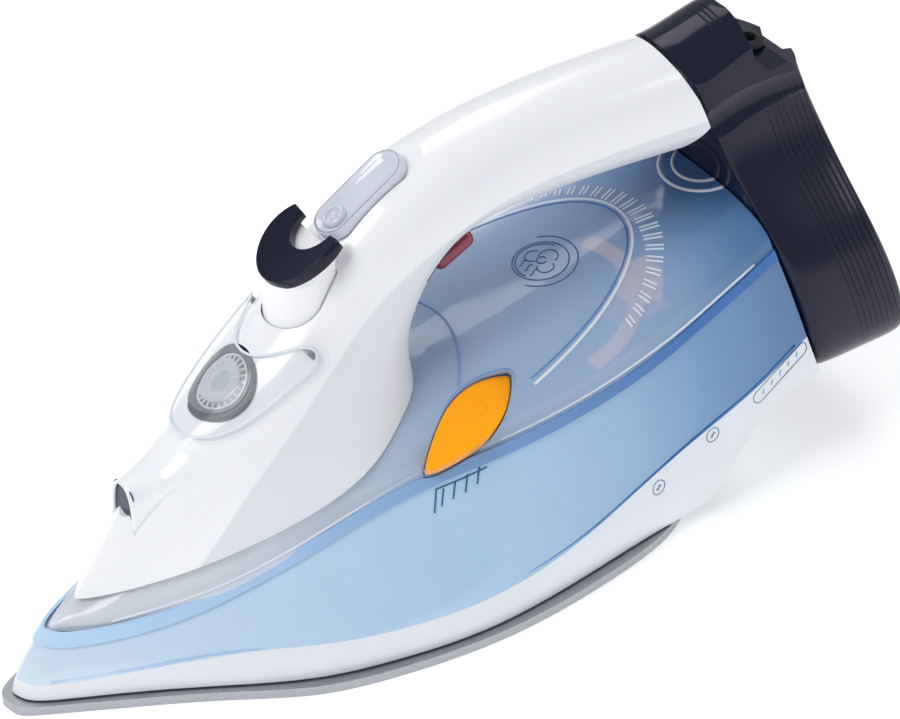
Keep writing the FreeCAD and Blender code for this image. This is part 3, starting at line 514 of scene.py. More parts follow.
class Piece:
    """Shared ways to make and finish a new piece."""

    @staticmethod
    def finish(name: str, mesh: bpy.types.Mesh, finish: Plastic | Metal, slot: str,
               body: Body = Body.IRON) -> bpy.types.Object:
        """Put a mesh in the scene as a piece that rides on a body.

        Args:
            name: The piece's name.
            mesh: Its mesh, in the frame.
            finish: Its finish.
            slot: Not used.
            body: The body it rides on.

        Returns:
            The piece.
        """
        mesh.name = name
        for face in mesh.polygons:
            face.use_smooth = True
        mesh.materials.clear()
        mesh.materials.append(finish.make())
        piece = bpy.data.objects.new(name, mesh)
        bpy.context.scene.collection.objects.link(piece)
        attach(piece, body.value)
        LOG.info("built %s", name)
        return piece

    @staticmethod
    def beads(name: str, lines: Iterable[Iterable[Optional[Vector]]], radius_mm: float,
              finish: Plastic, slot: str, body: Body = Body.IRON, **shape: bool) -> None:
        """Lay beads along lines as one piece, leaving out points that met no surface.

        Args:
            name: The piece's name.
            lines: The points of each bead.
            radius_mm: Bead radius.
            finish: Its finish.
            slot: Handed on to finish, which does not use it.
            body: The body it rides on.
            **shape: closed, tapered or flat, as bead_mesh takes them.
        """
        met = [[point for point in line if point is not None] for line in lines]
        mesh = Piece.bead_mesh([line for line in met if len(line) > 2], radius_mm * MM, **shape)
        Piece.finish(name, mesh, finish, slot, body)

    @staticmethod
    def bead_mesh(lines: Sequence[Sequence[Vector]], radius: float, closed: bool = False,
                  tapered: bool = False, flat: bool = False) -> bpy.types.Mesh:
        """Round beads along lines of points.

        Args:
            lines: The points of each bead, in the frame.
            radius: Bead radius in metres.
            closed: Whether each bead joins up with its start.
            tapered: Whether the ends run out to a point.
            flat: Whether the beads keep straight runs between points.

        Returns:
            One mesh with all the beads.
        """
        curve = bpy.data.curves.new("bead", "CURVE")
        curve.dimensions = "3D"
        curve.bevel_depth = radius
        curve.bevel_resolution = 2
        curve.use_fill_caps = not closed
        curve.resolution_u = 4
        for points in lines:
            spline = curve.splines.new("POLY" if flat else "NURBS")
            spline.points.add(len(points) - 1)
            for index, (target, point) in enumerate(zip(spline.points, points)):
                target.co = (*point, 1.0)
                if tapered:
                    share = index / (len(points) - 1)
                    target.radius = 0.15 + 0.85 * math.sin(math.pi * share) ** 0.5
            spline.use_cyclic_u = closed
            if not flat:
                spline.order_u = 3
                spline.use_endpoint_u = not closed
        holder = bpy.data.objects.new("bead", curve)
        bpy.context.scene.collection.objects.link(holder)
        bpy.context.view_layer.update()
        evaluated = holder.evaluated_get(bpy.context.evaluated_depsgraph_get())
        mesh = bpy.data.meshes.new_from_object(evaluated)
        bpy.data.objects.remove(holder)
        bpy.data.curves.remove(curve)
        bm = bmesh.new()
        bm.from_mesh(mesh)
        bmesh.ops.remove_doubles(bm, verts=bm.verts, dist=0.001 * MM)
        bmesh.ops.recalc_face_normals(bm, faces=bm.faces)
        bm.to_mesh(mesh)
        bm.free()
        return mesh

    @staticmethod
    def patch_mesh(rows: int, columns: int, place: Callable[[float, float], Optional[Vector]],
                   thickness: float) -> bpy.types.Mesh:
        """Thin sheet laid over a surface from a stretched grid.

        Args:
            rows: Grid divisions along.
            columns: Grid divisions across.
            place: Gives the point for each pair from -1 to 1, along then across.
            thickness: Sheet thickness in metres, below the points.

        Returns:
            The sheet's mesh.
        """
        bm = bmesh.new()
        bmesh.ops.create_grid(bm, x_segments=rows, y_segments=columns, size=1.0)
        lost = []
        for vert in bm.verts:
            point = place(vert.co.x, vert.co.y)
            if point is None:
                lost.append(vert)
            else:
                vert.co = point
        bmesh.ops.delete(bm, geom=lost, context="VERTS")
        bmesh.ops.remove_doubles(bm, verts=bm.verts, dist=0.02 * MM)
        bmesh.ops.recalc_face_normals(bm, faces=bm.faces)
        upward = sum(face.normal.z for face in bm.faces)
        if upward < 0:
            bmesh.ops.reverse_faces(bm, faces=bm.faces)
        bmesh.ops.solidify(bm, geom=bm.faces[:], thickness=thickness)
        bmesh.ops.recalc_face_normals(bm, faces=bm.faces)
        return as_mesh(bm, "patch")


# ---------------------------------------------------------------- sub-assemblies
# Sizes are in millimetres and turns in degrees, unless the line about them says otherwise.


@dataclass
class Sole:
    """Soleplate, its cast platform and the heating works."""

    def build(self) -> None:
        """Dress the sole's nodes."""
        dress({"soleplate": SOLE_METAL, "sole_platform": CAST_METAL, "chamber_cover": CAST_METAL,
               "heating_element": STEEL, "thermostat": STEEL, "thermal_fuse": WHITE_PBT,
               "cover_screws": STEEL})


@dataclass
class Skirt:
    """White skirt over the soleplate, with its small printed signs.

    Attributes:
        signs: Place of each round sign, ahead and up.
        sign_radius: Radius of a round sign.
        cross_ways: Directions of the two strokes in a round sign.
        cross_reach: Half their length.
        badge: Ends of the long outlined badge, ahead and up.
        badge_radius: Radius of its round ends.
        stroke_way: Direction of the strokes in the badge.
        stroke_reach: Half their length.
        stroke_count: How many there are.
    """

    signs: tuple[Pair, ...] = ((213.0, 25.6), (236.5, 35.2))
    sign_radius: float = 2.6
    cross_ways: tuple[Pair, ...] = ((1.0, 0.4), (0.3, 1.0))
    cross_reach: float = 1.2
    badge: tuple[Pair, Pair] = ((256.5, 41.6), (274.5, 52.0))
    badge_radius: float = 2.5
    stroke_way: Pair = (0.25, 1.0)
    stroke_reach: float = 0.9
    stroke_count: int = 5

    def build(self) -> None:
        """Dress the skirt and print its signs."""
        dress({"skirt": WHITE_PBT})
        self.skin = Skin("skirt")
        lines = []
        for ahead, up in self.signs:
            ring = [(ahead, up, turn) for turn in spaced(0.0, 2.0 * math.pi, 25)]
            lines.append(self._round(ring, self.sign_radius))
            lines += [self._stroke(ahead, up, way, self.cross_reach) for way in self.cross_ways]
        (x0, z0), (x1, z1) = self.badge
        for share in spaced(0.1, 0.9, self.stroke_count):
            lines.append(self._stroke(x0 + (x1 - x0) * share, z0 + (z1 - z0) * share,
                                      self.stroke_way, self.stroke_reach))
        lean, quarter = math.atan2(z1 - z0, x1 - x0), math.pi / 2
        ends = [(x1, z1, lean + a) for a in spaced(-quarter, quarter, 9)]
        ends += [(x0, z0, lean + a) for a in spaced(quarter, 3 * quarter, 9)]
        lines.append(self._round(ends + ends[:1], self.badge_radius))
        Piece.beads("skirt_signs", lines, 0.16, TEAL_INK, "navy_plastic", flat=True)

    def _stroke(self, ahead: float, up: float, way: Pair, reach: float) -> list[Optional[Vector]]:
        """Short straight stroke about a place on the skirt's side."""
        return [self.skin.beside(ahead + way[0] * t, up + way[1] * t, -1)
                for t in spaced(-reach, reach, 3)]

    def _round(self, turns: Sequence[Triple], radius: float) -> list[Optional[Vector]]:
        """Line at a radius from places on the skirt's side, each with its angle in radians."""
        return [self.skin.beside(x + radius * math.cos(a), z + radius * math.sin(a), -1)
                for x, z, a in turns]


@dataclass
class Tank:
    """Blue lower tank, its welded rim and the clear top with its raised marks.

    Attributes:
        rim: Height of the highlight over the welded rim at distances from the nose.
        seam: Height of the joint with the skirt at distances from the nose.
        leaf_middle: Distance from the nose to the middle of the leaf's curve.
        leaf_length: Length of the leaf's rear half.
        leaf_width: Half width of the leaf.
        leaf_turn: How far the leaf's edge goes round each way, in radians.
        leaf_step: Distance from its edge to the fine line inside.
        arch: Front of the arch line, how far its ends fall back, and its half width.
        dial: Middle of the round sign and of the arc of bars, in plan.
        sign_arcs: Middle ahead and aside of the dial's, radius, first and last turn of each arc.
        wisps: Place aside of each wisp.
        wisp_start: Distance from the dial's middle to the wisps.
        wisp_length: Length of a wisp.
        wisp_sway: How far a wisp sways, and how quickly.
        bar_radius: Radius of the arc of bars.
        bar_count: Number of bars.
        bar_turns: First and last bar.
        bar_reach: Half length of the shortest bar, and what the longest has more.
        bar_gap: Half the distance between a bar's two sides.
        gauge_frame: Lines of the level gauge's bracket, ahead and up.
        gauge_strokes: Foot of each stroke of the gauge.
        gauge_lean: Lean of the strokes.
        gauge_length: Their length.
        collar_middle: Distance from the nose to the middle of the rear rings.
        collar_radii: Radii of those rings.
    """

    rim: tuple[Pair, ...] = ((33, 26.9), (57, 31.6), (82, 40.6), (110, 53.1), (131, 59.6),
                             (154, 63.6), (186, 68.6), (219, 75.6), (240, 82.1), (258, 88.0))
    seam: tuple[Pair, ...] = ((12, 10.2), (35, 12.6), (65, 15.6), (96, 16.2), (127, 16.6),
                              (155, 19.2), (180, 22.6), (199, 27.9), (217, 33.6), (237, 40.2),
                              (257, 46.6), (272, 54.6))
    leaf_middle: float = 155.0
    leaf_length: float = 76.0
    leaf_width: float = 39.5
    leaf_turn: float = 1.36
    leaf_step: float = 1.5
    arch: Triple = (161.0, 11.4, 28.0)
    dial: Pair = (198.8, -2.0)
    sign_arcs: tuple[tuple[float, ...], ...] = (
        (0.0, 0.0, 12.0, -150.0, 60.0), (0.0, 0.0, 9.2, 0.0, 360.0), (0.0, 0.0, 8.2, 20.0, 200.0),
        (-0.5, 3.6, 2.6, 20.0, 250.0), (3.0, 0.0, 3.1, -80.0, 130.0),
        (-0.5, -3.4, 2.7, -230.0, -10.0), (0.4, 0.0, 1.6, 0.0, 300.0))
    wisps: tuple[float, ...] = (-3.0, 0.0, 3.0)
    wisp_start: float = 3.0
    wisp_length: float = 3.6
    wisp_sway: Pair = (0.7, 1.6)
    bar_radius: float = 36.3
    bar_count: int = 20
    bar_turns: Pair = (-74.0, 60.0)
    bar_reach: Pair = (1.1, 2.2)
    bar_gap: float = 0.75
    gauge_frame: tuple[tuple[Pair, ...], ...] = (
        ((131.0, 46.6), (132.0, 50.0), (133.0, 53.6)),
        ((133.0, 53.6), (142.0, 55.2), (150.0, 56.8)))
    gauge_strokes: tuple[Pair, ...] = ((133.6, 48.2), (137.6, 49.6), (141.8, 50.8), (146.0, 52.4))
    gauge_lean: float = 0.34
    gauge_length: float = 5.2
    collar_middle: float = 266.0
    collar_radii: Pair = (11.0, 15.5)

    def build(self) -> None:
        """Dress the tank, raise its marks and paint highlights along the rim."""
        dress({"tank_lower": BLUE_SAN, "weld_rim": RIM_SAN, "tank_upper": SMOKE_PC,
               "amber_lever": AMBER_PC, "lever_bracket": WHITE_ABS, "steam_valve": NATURAL_POM,
               "spray_tube": NATURAL_POM})
        self.top = Skin("tank_upper")
        self.side = Skin("tank_lower")
        self.leaf()
        self.bars()
        self.sign()
        self.edges()
        self.gauge()
        self.collar()

    def leaf(self) -> None:
        """Raised edge of the leaf, a fine line inside it and the arch in front."""
        edge, inner = [], []
        for turn in spaced(-self.leaf_turn, self.leaf_turn, 61):
            for line, shrink in ((edge, 0.0), (inner, self.leaf_step)):
                ahead = self.leaf_middle + (self.leaf_length - shrink) * math.cos(turn)
                aside = (self.leaf_width - shrink) * math.sin(turn)
                line.append(self.top.over(ahead, aside))
        Piece.beads("leaf_edge", [edge], 0.55, FROST_AND_HIGHLIGHT, "smoke_clear")
        Piece.beads("leaf_shadow_line", [inner], 0.3, RIM_SAN, "blue_clear")
        front, back, reach = self.arch
        arch = [self.top.over(front - back * (y / reach) ** 2, y)
                for y in spaced(-reach, reach, 33)]
        Piece.beads("arch_line", [arch], 0.42, RIM_SAN, "blue_clear")

    def bars(self) -> None:
        """Arc of small raised bars behind the leaf, longest in the middle."""
        lines = []
        for index, turn in enumerate(spaced(*self.bar_turns, self.bar_count)):
            share = math.sin(math.pi * (index + 0.6) / (self.bar_count + 0.2))
            reach = self.bar_reach[0] + self.bar_reach[1] * share
            way = Vector((math.cos(math.radians(turn)), math.sin(math.radians(turn))))
            for shift in (-self.bar_gap, self.bar_gap):
                line = []
                for t in spaced(-reach, reach, 4):
                    ahead = self.dial[0] + way.x * (self.bar_radius + t) - way.y * shift
                    aside = self.dial[1] + way.y * (self.bar_radius + t) + way.x * shift
                    line.append(self.top.over(ahead, aside, 0.1 * MM))
                lines.append(line)
        Piece.beads("heat_bars", lines, 0.38, FROST_AND_HIGHLIGHT, "smoke_clear")

    def sign(self) -> None:
        """Round sign with a plain cloud of three puffs over three wisps."""
        lines = []
        for ahead, aside, radius, first, last in self.sign_arcs:
            lines.append([self.top.over(self.dial[0] + ahead + radius * math.cos(math.radians(a)),
                                        self.dial[1] + aside + radius * math.sin(math.radians(a)))
                          for a in spaced(first, last, 28)])
        sway, pace = self.wisp_sway
        for aside in self.wisps:
            lines.append([self.top.over(self.dial[0] - self.wisp_start - t,
                                        self.dial[1] + aside + sway * math.sin(pace * t))
                          for t in spaced(0.0, self.wisp_length, 8)])
        Piece.beads("cloud_sign", lines, 0.24, TEAL_INK, "navy_plastic")

    def edges(self) -> None:
        """Painted highlight lines along the rim, and fine lines along the joint with the skirt."""
        for side, word in SIDES:
            # The rim lines are painted highlights: white beads along the rim's upper edge.
            above = [self.top.beside(x, z, side, 0.05 * MM) for x, z in self.rim]
            Piece.beads(f"rim_highlight_{word}", [above], 0.5, FROST_AND_HIGHLIGHT, "smoke_clear")
            joint = [self.side.beside(x, z, side) for x, z in self.seam]
            Piece.beads(f"skirt_joint_{word}", [joint], 0.4, RIM_SAN, "blue_clear")

    def gauge(self) -> None:
        """Level gauge: a bracket and four slanted strokes."""
        lines = [[self.side.beside(x, z, -1) for x, z in line] for line in self.gauge_frame]
        for ahead, up in self.gauge_strokes:
            lines.append([self.side.beside(ahead + self.gauge_lean * t, up + t, -1)
                          for t in spaced(0.0, self.gauge_length, 4)])
        Piece.beads("level_gauge", lines, 0.3, TEAL_INK, "navy_plastic", flat=True)

    def collar(self) -> None:
        """Raised rings on the clear top where it meets the handle and the heel."""
        rings = [[self.top.over(self.collar_middle + radius * math.cos(a), radius * math.sin(a))
                  for a in spaced(0.55 * math.pi, 1.45 * math.pi, 24)]
                 for radius in self.collar_radii]
        Piece.beads("tank_collar", rings, 0.6, FROST_AND_HIGHLIGHT, "smoke_clear")


@dataclass
class Filler:
    """Filling funnel with its clear lid.

    Attributes:
        slope: Slope of the funnel's face.
        middle: Middle of the funnel's face, ahead and up.
        outline: Half outline of the lid, along the slope and aside.
        edge_share: How much of the outline the raised edge takes.
        rib_radii: Radii of the plug's ribs, from their inner to their outer ends.
        rib_depth: Depth of the ribs under the lid's top.
        rib_count: Number of ribs.
        crescent_radius: Radius of the dark crescent round the funnel's mouth.
        crescent_depth: Its depth under the lid's top.
        crescent_turns: Its ends, in radians.
    """

    slope: float = 37.0
    middle: Pair = (80.5, 93.0)
    outline: tuple[Pair, ...] = ((21.0, 0.0), (19.0, 8.0), (10.0, 15.0), (-4.0, 18.6),
                                 (-18.0, 20.6), (-26.5, 21.0), (-27.5, 17.0), (-21.0, 13.0),
                                 (-13.5, 8.0), (-11.0, 0.0))
    edge_share: float = 0.965
    rib_radii: Triple = (4.2, 6.8, 9.4)
    rib_depth: float = 2.6
    rib_count: int = 24
    crescent_radius: float = 12.4
    crescent_depth: float = 2.0
    crescent_turns: Pair = (-0.5, 2.7)

    def build(self) -> None:
        """Dress the funnel, the lid and its plug, and bead the lid and the funnel."""
        dress({"fill_funnel": NAVY_ABS, "funnel_seal": RUBBER, "fill_lid": CLEAR_PC,
               "lid_plug": PLUG_PC, "plug_seal": RUBBER, "lid_hinge_pins": STEEL})
        self.lid = Skin("fill_lid")
        half = [(x * self.edge_share, y * self.edge_share) for x, y in self.outline]
        loop = half + [(x, -y) for x, y in reversed(half[1:-1])]
        edge = [self._on(x, y, 0.0) for x, y in loop]
        Piece.beads("lid_edge", [edge], 0.45, FROST_AND_HIGHLIGHT, "lid_clear", Body.LID, closed=True)
        ribs = [[self._round(radius, turn, self.rib_depth) for radius in self.rib_radii]
                for turn in spaced(0.0, 2.0 * math.pi, self.rib_count + 1)[:-1]]
        ribs += [[self._round(radius, turn, self.rib_depth)
                  for turn in spaced(0.0, 2.0 * math.pi, 33)]
                 for radius in (self.rib_radii[0], self.rib_radii[-1])]
        Piece.beads("plug_ribs", ribs, 0.4, FROST_AND_HIGHLIGHT, "lid_clear", Body.LID, flat=True)
        crescent = [self._round(self.crescent_radius, -turn, self.crescent_depth)
                    for turn in spaced(*self.crescent_turns, 30)]
        Piece.beads("funnel_crescent", [crescent], 1.8, NAVY_ABS, "navy_plastic", tapered=True)

    def _round(self, radius: float, turn: float, depth: float) -> Optional[Vector]:
        """Point on a circle about the funnel, under the lid's top, turn in radians."""
        return self._on(radius * math.cos(turn), radius * math.sin(turn), -depth * MM)

    def _on(self, along: float, aside: float, lift: float) -> Optional[Vector]:
        """Point on the lid square to the funnel's slope."""
        lean = math.radians(self.slope)
        way = Vector((-math.sin(lean), 0.0, math.cos(lean)))
        x = self.middle[0] - along * math.cos(lean)
        z = self.middle[1] - along * math.sin(lean)
        return self.lid.drop(LAYOUT.at(x, aside, z) + way * 60.0 * MM, -way, lift)


@dataclass
class Handle:
    """Front cover with its nozzle hood, handle shells and lens.

    Attributes:
        hood: Distance from the nose, half width and top height along the nozzle hood.
        hood_wall: Thickness of the hood.
        hood_power: How square the hood's arch is, 2 being an ellipse.
        hood_sink: How far the hood's foot goes into the cover.
        tail: Where the hood starts to melt into the cover, and where it is gone.
        mouth: Distance from the nose to the dark mouth inside the hood.
        mouth_foot: Height of the mouth's foot.
        lens_middle: Middle of the lens strip under the handle.
        lens_size: Length, width and height of the lens strip.
        lens_edge: Rounding of its edges.
        lens_lean: Its slope.
    """

    hood: tuple[Triple, ...] = ((44.4, 6.6, 68.4), (50.0, 7.4, 69.6), (56.0, 9.0, 71.4),
                                (62.0, 11.0, 76.8), (70.0, 13.0, 84.0))
    hood_wall: float = 0.9
    hood_power: float = 2.6
    hood_sink: float = 0.3
    tail: Pair = (52.0, 69.0)
    mouth: float = 45.5
    mouth_foot: float = 50.0
    lens_middle: Triple = (158.6, 0.0, 117.6)
    lens_size: Triple = (15.5, 27.0, 7.0)
    lens_edge: float = 2.6
    lens_lean: float = 27.0

    def build(self) -> None:
        """Dress the cover and handle, and shape the hood and the lens strip."""
        dress({"front_cover": WHITE_ABS, "handle_lower": GREY_ABS, "indicator_lens": RED_PC,
               "lamp_board": LAMINATE, "spray_nozzle": DARK_NYLON, "nozzle_jet": BRASS,
               "slider_track": WHITE_ABS, "pump_barrel": NATURAL_POM})
        self.cover = Skin("front_cover")
        sheet = Piece.patch_mesh(22, 28, self._hood_point, self.hood_wall * MM)
        Piece.finish("nozzle_hood", sheet, WHITE_ABS, "white_plastic")
        plate = Piece.patch_mesh(6, 16, self._mouth_point, 0.4 * MM)
        Piece.finish("nozzle_mouth", plate, DARK_NYLON, "navy_plastic")
        self.lens()

    def _width_and_top(self, ahead: float) -> Pair:
        """Half width and top height of the hood at a distance from the nose."""
        for (x0, w0, z0), (x1, w1, z1) in zip(self.hood, self.hood[1:]):
            if ahead <= x1:
                share = max(0.0, (ahead - x0) / (x1 - x0))
                return w0 + (w1 - w0) * share, z0 + (z1 - z0) * share
        return self.hood[-1][1], self.hood[-1][2]

    def _arch(self, ahead: float, across: float, inset: float) -> Optional[Vector]:
        """Point on the hood's arch, across going from -1 to 1."""
        width, top = self._width_and_top(ahead)
        width -= inset
        side = math.sin(across * math.pi / 2.0)
        foot = self.cover.over(ahead, math.copysign(width, across), -self.hood_sink * MM)
        if foot is None:
            return None
        rise = (1.0 - abs(side) ** self.hood_power) ** (1.0 / self.hood_power)
        height = foot.z + ((top - inset) * MM - foot.z) * rise
        return Vector((foot.x, side * width * MM, height))

    def _hood_point(self, along: float, across: float) -> Optional[Vector]:
        """Point on the hood's sheet for places from -1 to 1."""
        first, last = self.hood[0][0], self.hood[-1][0]
        ahead = first + (last - first) * (along + 1.0) / 2.0
        arch = self._arch(ahead, across, 0.0)
        if arch is None:
            return None
        share = min(1.0, max(0.0, (ahead - self.tail[0]) / (self.tail[1] - self.tail[0])))
        blend = share * share * (3.0 - 2.0 * share)
        under = self.cover.over(ahead, arch.y / MM)
        if under is None:
            return None
        sunk = under.z - self.hood_sink * MM
        return Vector((arch.x, arch.y, arch.z * (1.0 - blend) + sunk * blend))

    def _mouth_point(self, upward: float, across: float) -> Optional[Vector]:
        """Point on the dark plate inside the hood for places from -1 to 1."""
        arch = self._arch(self.mouth, across, self.hood_wall)
        if arch is None:
            return None
        foot = self.mouth_foot * MM
        return Vector((arch.x, arch.y, foot + (arch.z - foot) * (upward + 1.0) / 2.0))

    def lens(self) -> None:
        """Dark red lens strip under the front of the handle, with rounded edges."""
        bm = bmesh.new()
        bmesh.ops.create_cube(bm, size=MM)
        bmesh.ops.scale(bm, vec=self.lens_size, verts=bm.verts)
        bmesh.ops.bevel(bm, geom=bm.edges[:], offset=self.lens_edge * MM, segments=4, profile=0.5,
                        affect="EDGES", material=-1)
        lean_and_place(bm, self.lens_lean, self.lens_middle)
        Piece.finish("lens_window", as_mesh(bm, "lens"), RED_PC, "red_lens")


@dataclass
class Controls:
    """Steam button, slider and descaling button.

    Attributes:
        leaf_middle: Middle of the descaling button.
        leaf_along: Its long direction.
        leaf_normal: The way it faces.
        leaf_reach: Half its length.
        leaf_width: Half its width.
        leaf_gap: Distance from the button to its outline.
        grip_places: Places of the finger ribs along the button.
        grip_reach: Half their length.
        saddle_dish: Depth of the hollow along the middle of the steam button's cap.
        saddle_depth: Thickness of the cap.
        saddle_edge: Rounding of its edges.
        saddle_middle: Middle of the cap's round rim, from the nose.
        saddle_radius: Radius of that rim.
        saddle_height: Height of the cap's top at the notch.
        saddle_rise: Rise of its top for each millimetre to the rear.
        notch_middle: Middle of the round notch between the horns, from the nose.
        notch_radius: Radius of the notch.
        horn_turns: Ends of the rim and of the notch, each way from the front.
        slide_base: Middle of the slider's underside.
        slide_slope: Slope of the slider.
        slide_length: Length of the slider.
        slide_width: Width of the slider.
        slide_height: Height of the slider.
        slide_steps: Inset and drop of each step of its hollowed top.
        slide_edge: Rounding of its edges.
        well_radii: Radii of the ring well, at its foot and at its top.
        well_depth: Height of the ring well.
        well_sink: How far its middle sits below the slider's top.
        well_steps: Inset and drop of each step inside the ring well.
    """

    leaf_middle: Triple = (147.6, -36.0, 70.4)
    leaf_along: Triple = (36.5, 10.0, 14.0)
    leaf_normal: Triple = (-0.187575, -0.499456, 0.845789)
    leaf_reach: float = 20.5
    leaf_width: float = 7.75
    leaf_gap: float = 1.5
    grip_places: Triple = (2.0, 4.6, 7.2)
    grip_reach: float = 2.2
    saddle_dish: float = 1.6
    saddle_depth: float = 4.2
    saddle_edge: float = 0.8
    saddle_middle: float = 110.3
    saddle_radius: float = 13.1
    saddle_height: float = 132.9
    saddle_rise: float = 0.62
    notch_middle: float = 116.5
    notch_radius: float = 8.0
    horn_turns: Pair = (118.0, 90.0)
    slide_base: Triple = (133.6, 0.0, 139.1)
    slide_slope: float = 32.0
    slide_length: float = 34.0
    slide_width: float = 13.4
    slide_height: float = 4.2
    slide_steps: tuple[Pair, ...] = ((0.5, 0.0), (0.7, 0.0), (1.1, -0.9), (1.2, -0.6), (1.2, -0.3))
    slide_edge: float = 0.6
    well_radii: Pair = (3.9, 3.4)
    well_depth: float = 2.2
    well_sink: float = 0.6
    well_steps: tuple[Pair, ...] = ((0.7, 0.0), (0.2, -1.2), (1.2, 0.0), (0.2, 0.8))

    def build(self) -> None:
        """Dress the controls, shape the slider and the cap, and mark the descaling button."""
        dress({"button_block": WHITE_ABS, "button_cap": NAVY_ABS, "pump_plunger": NATURAL_POM,
               "button_spring": STEEL, "steam_slider": LAVENDER_PC,
               "calc_clean_button": ORANGE_POM, "calc_clean_well": SMOKE_PC,
               "calc_clean_spring": STEEL, "calc_clean_stem": NATURAL_POM})
        self.slide()
        self.saddle()
        tank, button = Skin("tank_upper"), Skin("calc_clean_button")
        outline = [self._on(tank, x, y) for x, y in self._leaf()]
        Piece.beads("leaf_button_outline", [outline], 0.32, RIM_SAN, "blue_clear", closed=True)
        ribs = [[self._on(button, x, y) for y in (-self.grip_reach, 0.0, self.grip_reach)]
                for x in self.grip_places]
        Piece.beads("leaf_button_ribs", ribs, 0.35, ORANGE_POM, "orange_plastic", Body.CALC)

    def saddle(self) -> None:
        """Button's cap: a dished half moon with two horns pointing to the rear."""
        mesh = Piece.patch_mesh(48, 12, self._saddle_point, self.saddle_depth * MM)
        bm = bmesh.new()
        bm.from_mesh(mesh)
        round_edges(bm, 0.9, self.saddle_edge, clamp=True)
        bm.to_mesh(mesh)
        bm.free()
        piece = Piece.finish("button_saddle", mesh, NAVY_ABS, "navy_plastic", Body.BUTTON)
        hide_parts("button_cap")

    def _saddle_point(self, turn: float, across: float) -> Vector:
        """Point on the cap's top, turn from horn to horn and across from notch to rim."""
        rim, notch = (math.radians(end) * turn for end in self.horn_turns)
        rim_x = self.saddle_middle - self.saddle_radius * math.cos(rim)
        rim_y = self.saddle_radius * math.sin(rim)
        notch_x = self.notch_middle - self.notch_radius * math.cos(notch)
        notch_y = self.notch_radius * math.sin(notch)
        share = (across + 1.0) / 2.0
        ahead = notch_x + (rim_x - notch_x) * share
        aside = notch_y + (rim_y - notch_y) * share
        hollow = self.saddle_dish * (1.0 - (aside / self.saddle_radius) ** 2)
        rise = self.saddle_rise * (ahead - self.notch_middle + self.notch_radius)
        return LAYOUT.at(ahead, aside, self.saddle_height + rise - hollow)

    def slide(self) -> None:
        """Slider: a pill with a ring well at its front end and a hollowed top."""
        bm = bmesh.new()
        reach = (self.slide_length - self.slide_width) / 2 * MM
        self._pill(bm, reach)
        self._ring_well(bm, reach)
        lean_and_place(bm, self.slide_slope, self.slide_base)
        bmesh.ops.recalc_face_normals(bm, faces=bm.faces)
        piece = Piece.finish("steam_slider_pill", as_mesh(bm, "slider"), LAVENDER_PC,
                             "slider_clear", Body.SLIDER)
        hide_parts("steam_slider")

    def _pill(self, bm: bmesh.types.BMesh, reach: float) -> None:
        """Pill with a hollowed top, its round ends a reach either side of the middle."""
        bmesh.ops.create_circle(bm, cap_ends=True, segments=48, radius=self.slide_width / 2 * MM)
        for vert in bm.verts:
            vert.co.x += math.copysign(reach, vert.co.x) if abs(vert.co.x) > 1e-7 else 0.0
        raised = bmesh.ops.extrude_face_region(bm, geom=bm.faces[:])
        top = [item for item in raised["geom"] if isinstance(item, bmesh.types.BMVert)]
        bmesh.ops.translate(bm, vec=(0.0, 0.0, self.slide_height * MM), verts=top)
        lid = max(bm.faces, key=lambda face: face.calc_center_median().z)
        for inset, drop in self.slide_steps:
            bmesh.ops.inset_region(bm, faces=[lid], thickness=inset * MM)
            bmesh.ops.translate(bm, vec=(0.0, 0.0, drop * MM), verts=lid.verts)
        round_edges(bm, 0.8, self.slide_edge)

    def _ring_well(self, bm: bmesh.types.BMesh, reach: float) -> None:
        """Ring with a stepped well inside it, at the pill's front end."""
        ring = bmesh.ops.create_cone(bm, cap_ends=True, segments=32,
                                     radius1=self.well_radii[0] * MM,
                                     radius2=self.well_radii[1] * MM, depth=self.well_depth * MM)
        ring_face = max((f for f in bm.faces if all(v in ring["verts"] for v in f.verts)),
                        key=lambda face: face.calc_center_median().z)
        ring_verts = set(ring["verts"])
        for inset, drop in self.well_steps:
            inner = bmesh.ops.inset_region(bm, faces=[ring_face], thickness=inset * MM)
            bmesh.ops.translate(bm, vec=(0.0, 0.0, drop * MM), verts=ring_face.verts)
            ring_verts.update(v for face in inner["faces"] for v in face.verts)
        ring_verts.update(ring_face.verts)
        bmesh.ops.translate(bm, vec=(-reach, 0.0, (self.slide_height - self.well_sink) * MM),
                            verts=list(ring_verts))

    def _leaf(self) -> list[Pair]:
        """Outline round the descaling button."""
        r, w = self.leaf_reach + self.leaf_gap, self.leaf_width + self.leaf_gap
        half = [(-r, 0.0), (-r + 3.0, 0.30 * w), (-0.45 * r, 0.72 * w), (0.05 * r, w),
                (0.55 * r, 0.80 * w), (r - 2.2, 0.30 * w), (r, 0.0)]
        return half + [(x, -y) for x, y in reversed(half[1:-1])]

    def _on(self, skin: Skin, along: float, across: float) -> Optional[Vector]:
        """Point on a surface square to the descaling button."""
        way = Vector(self.leaf_normal).normalized()
        x_axis = Vector(self.leaf_along).normalized()
        y_axis = way.cross(x_axis).normalized()
        start = LAYOUT.at(*self.leaf_middle) + (x_axis * along + y_axis * across) * MM
        return skin.drop(start + way * 40.0 * MM, -way)


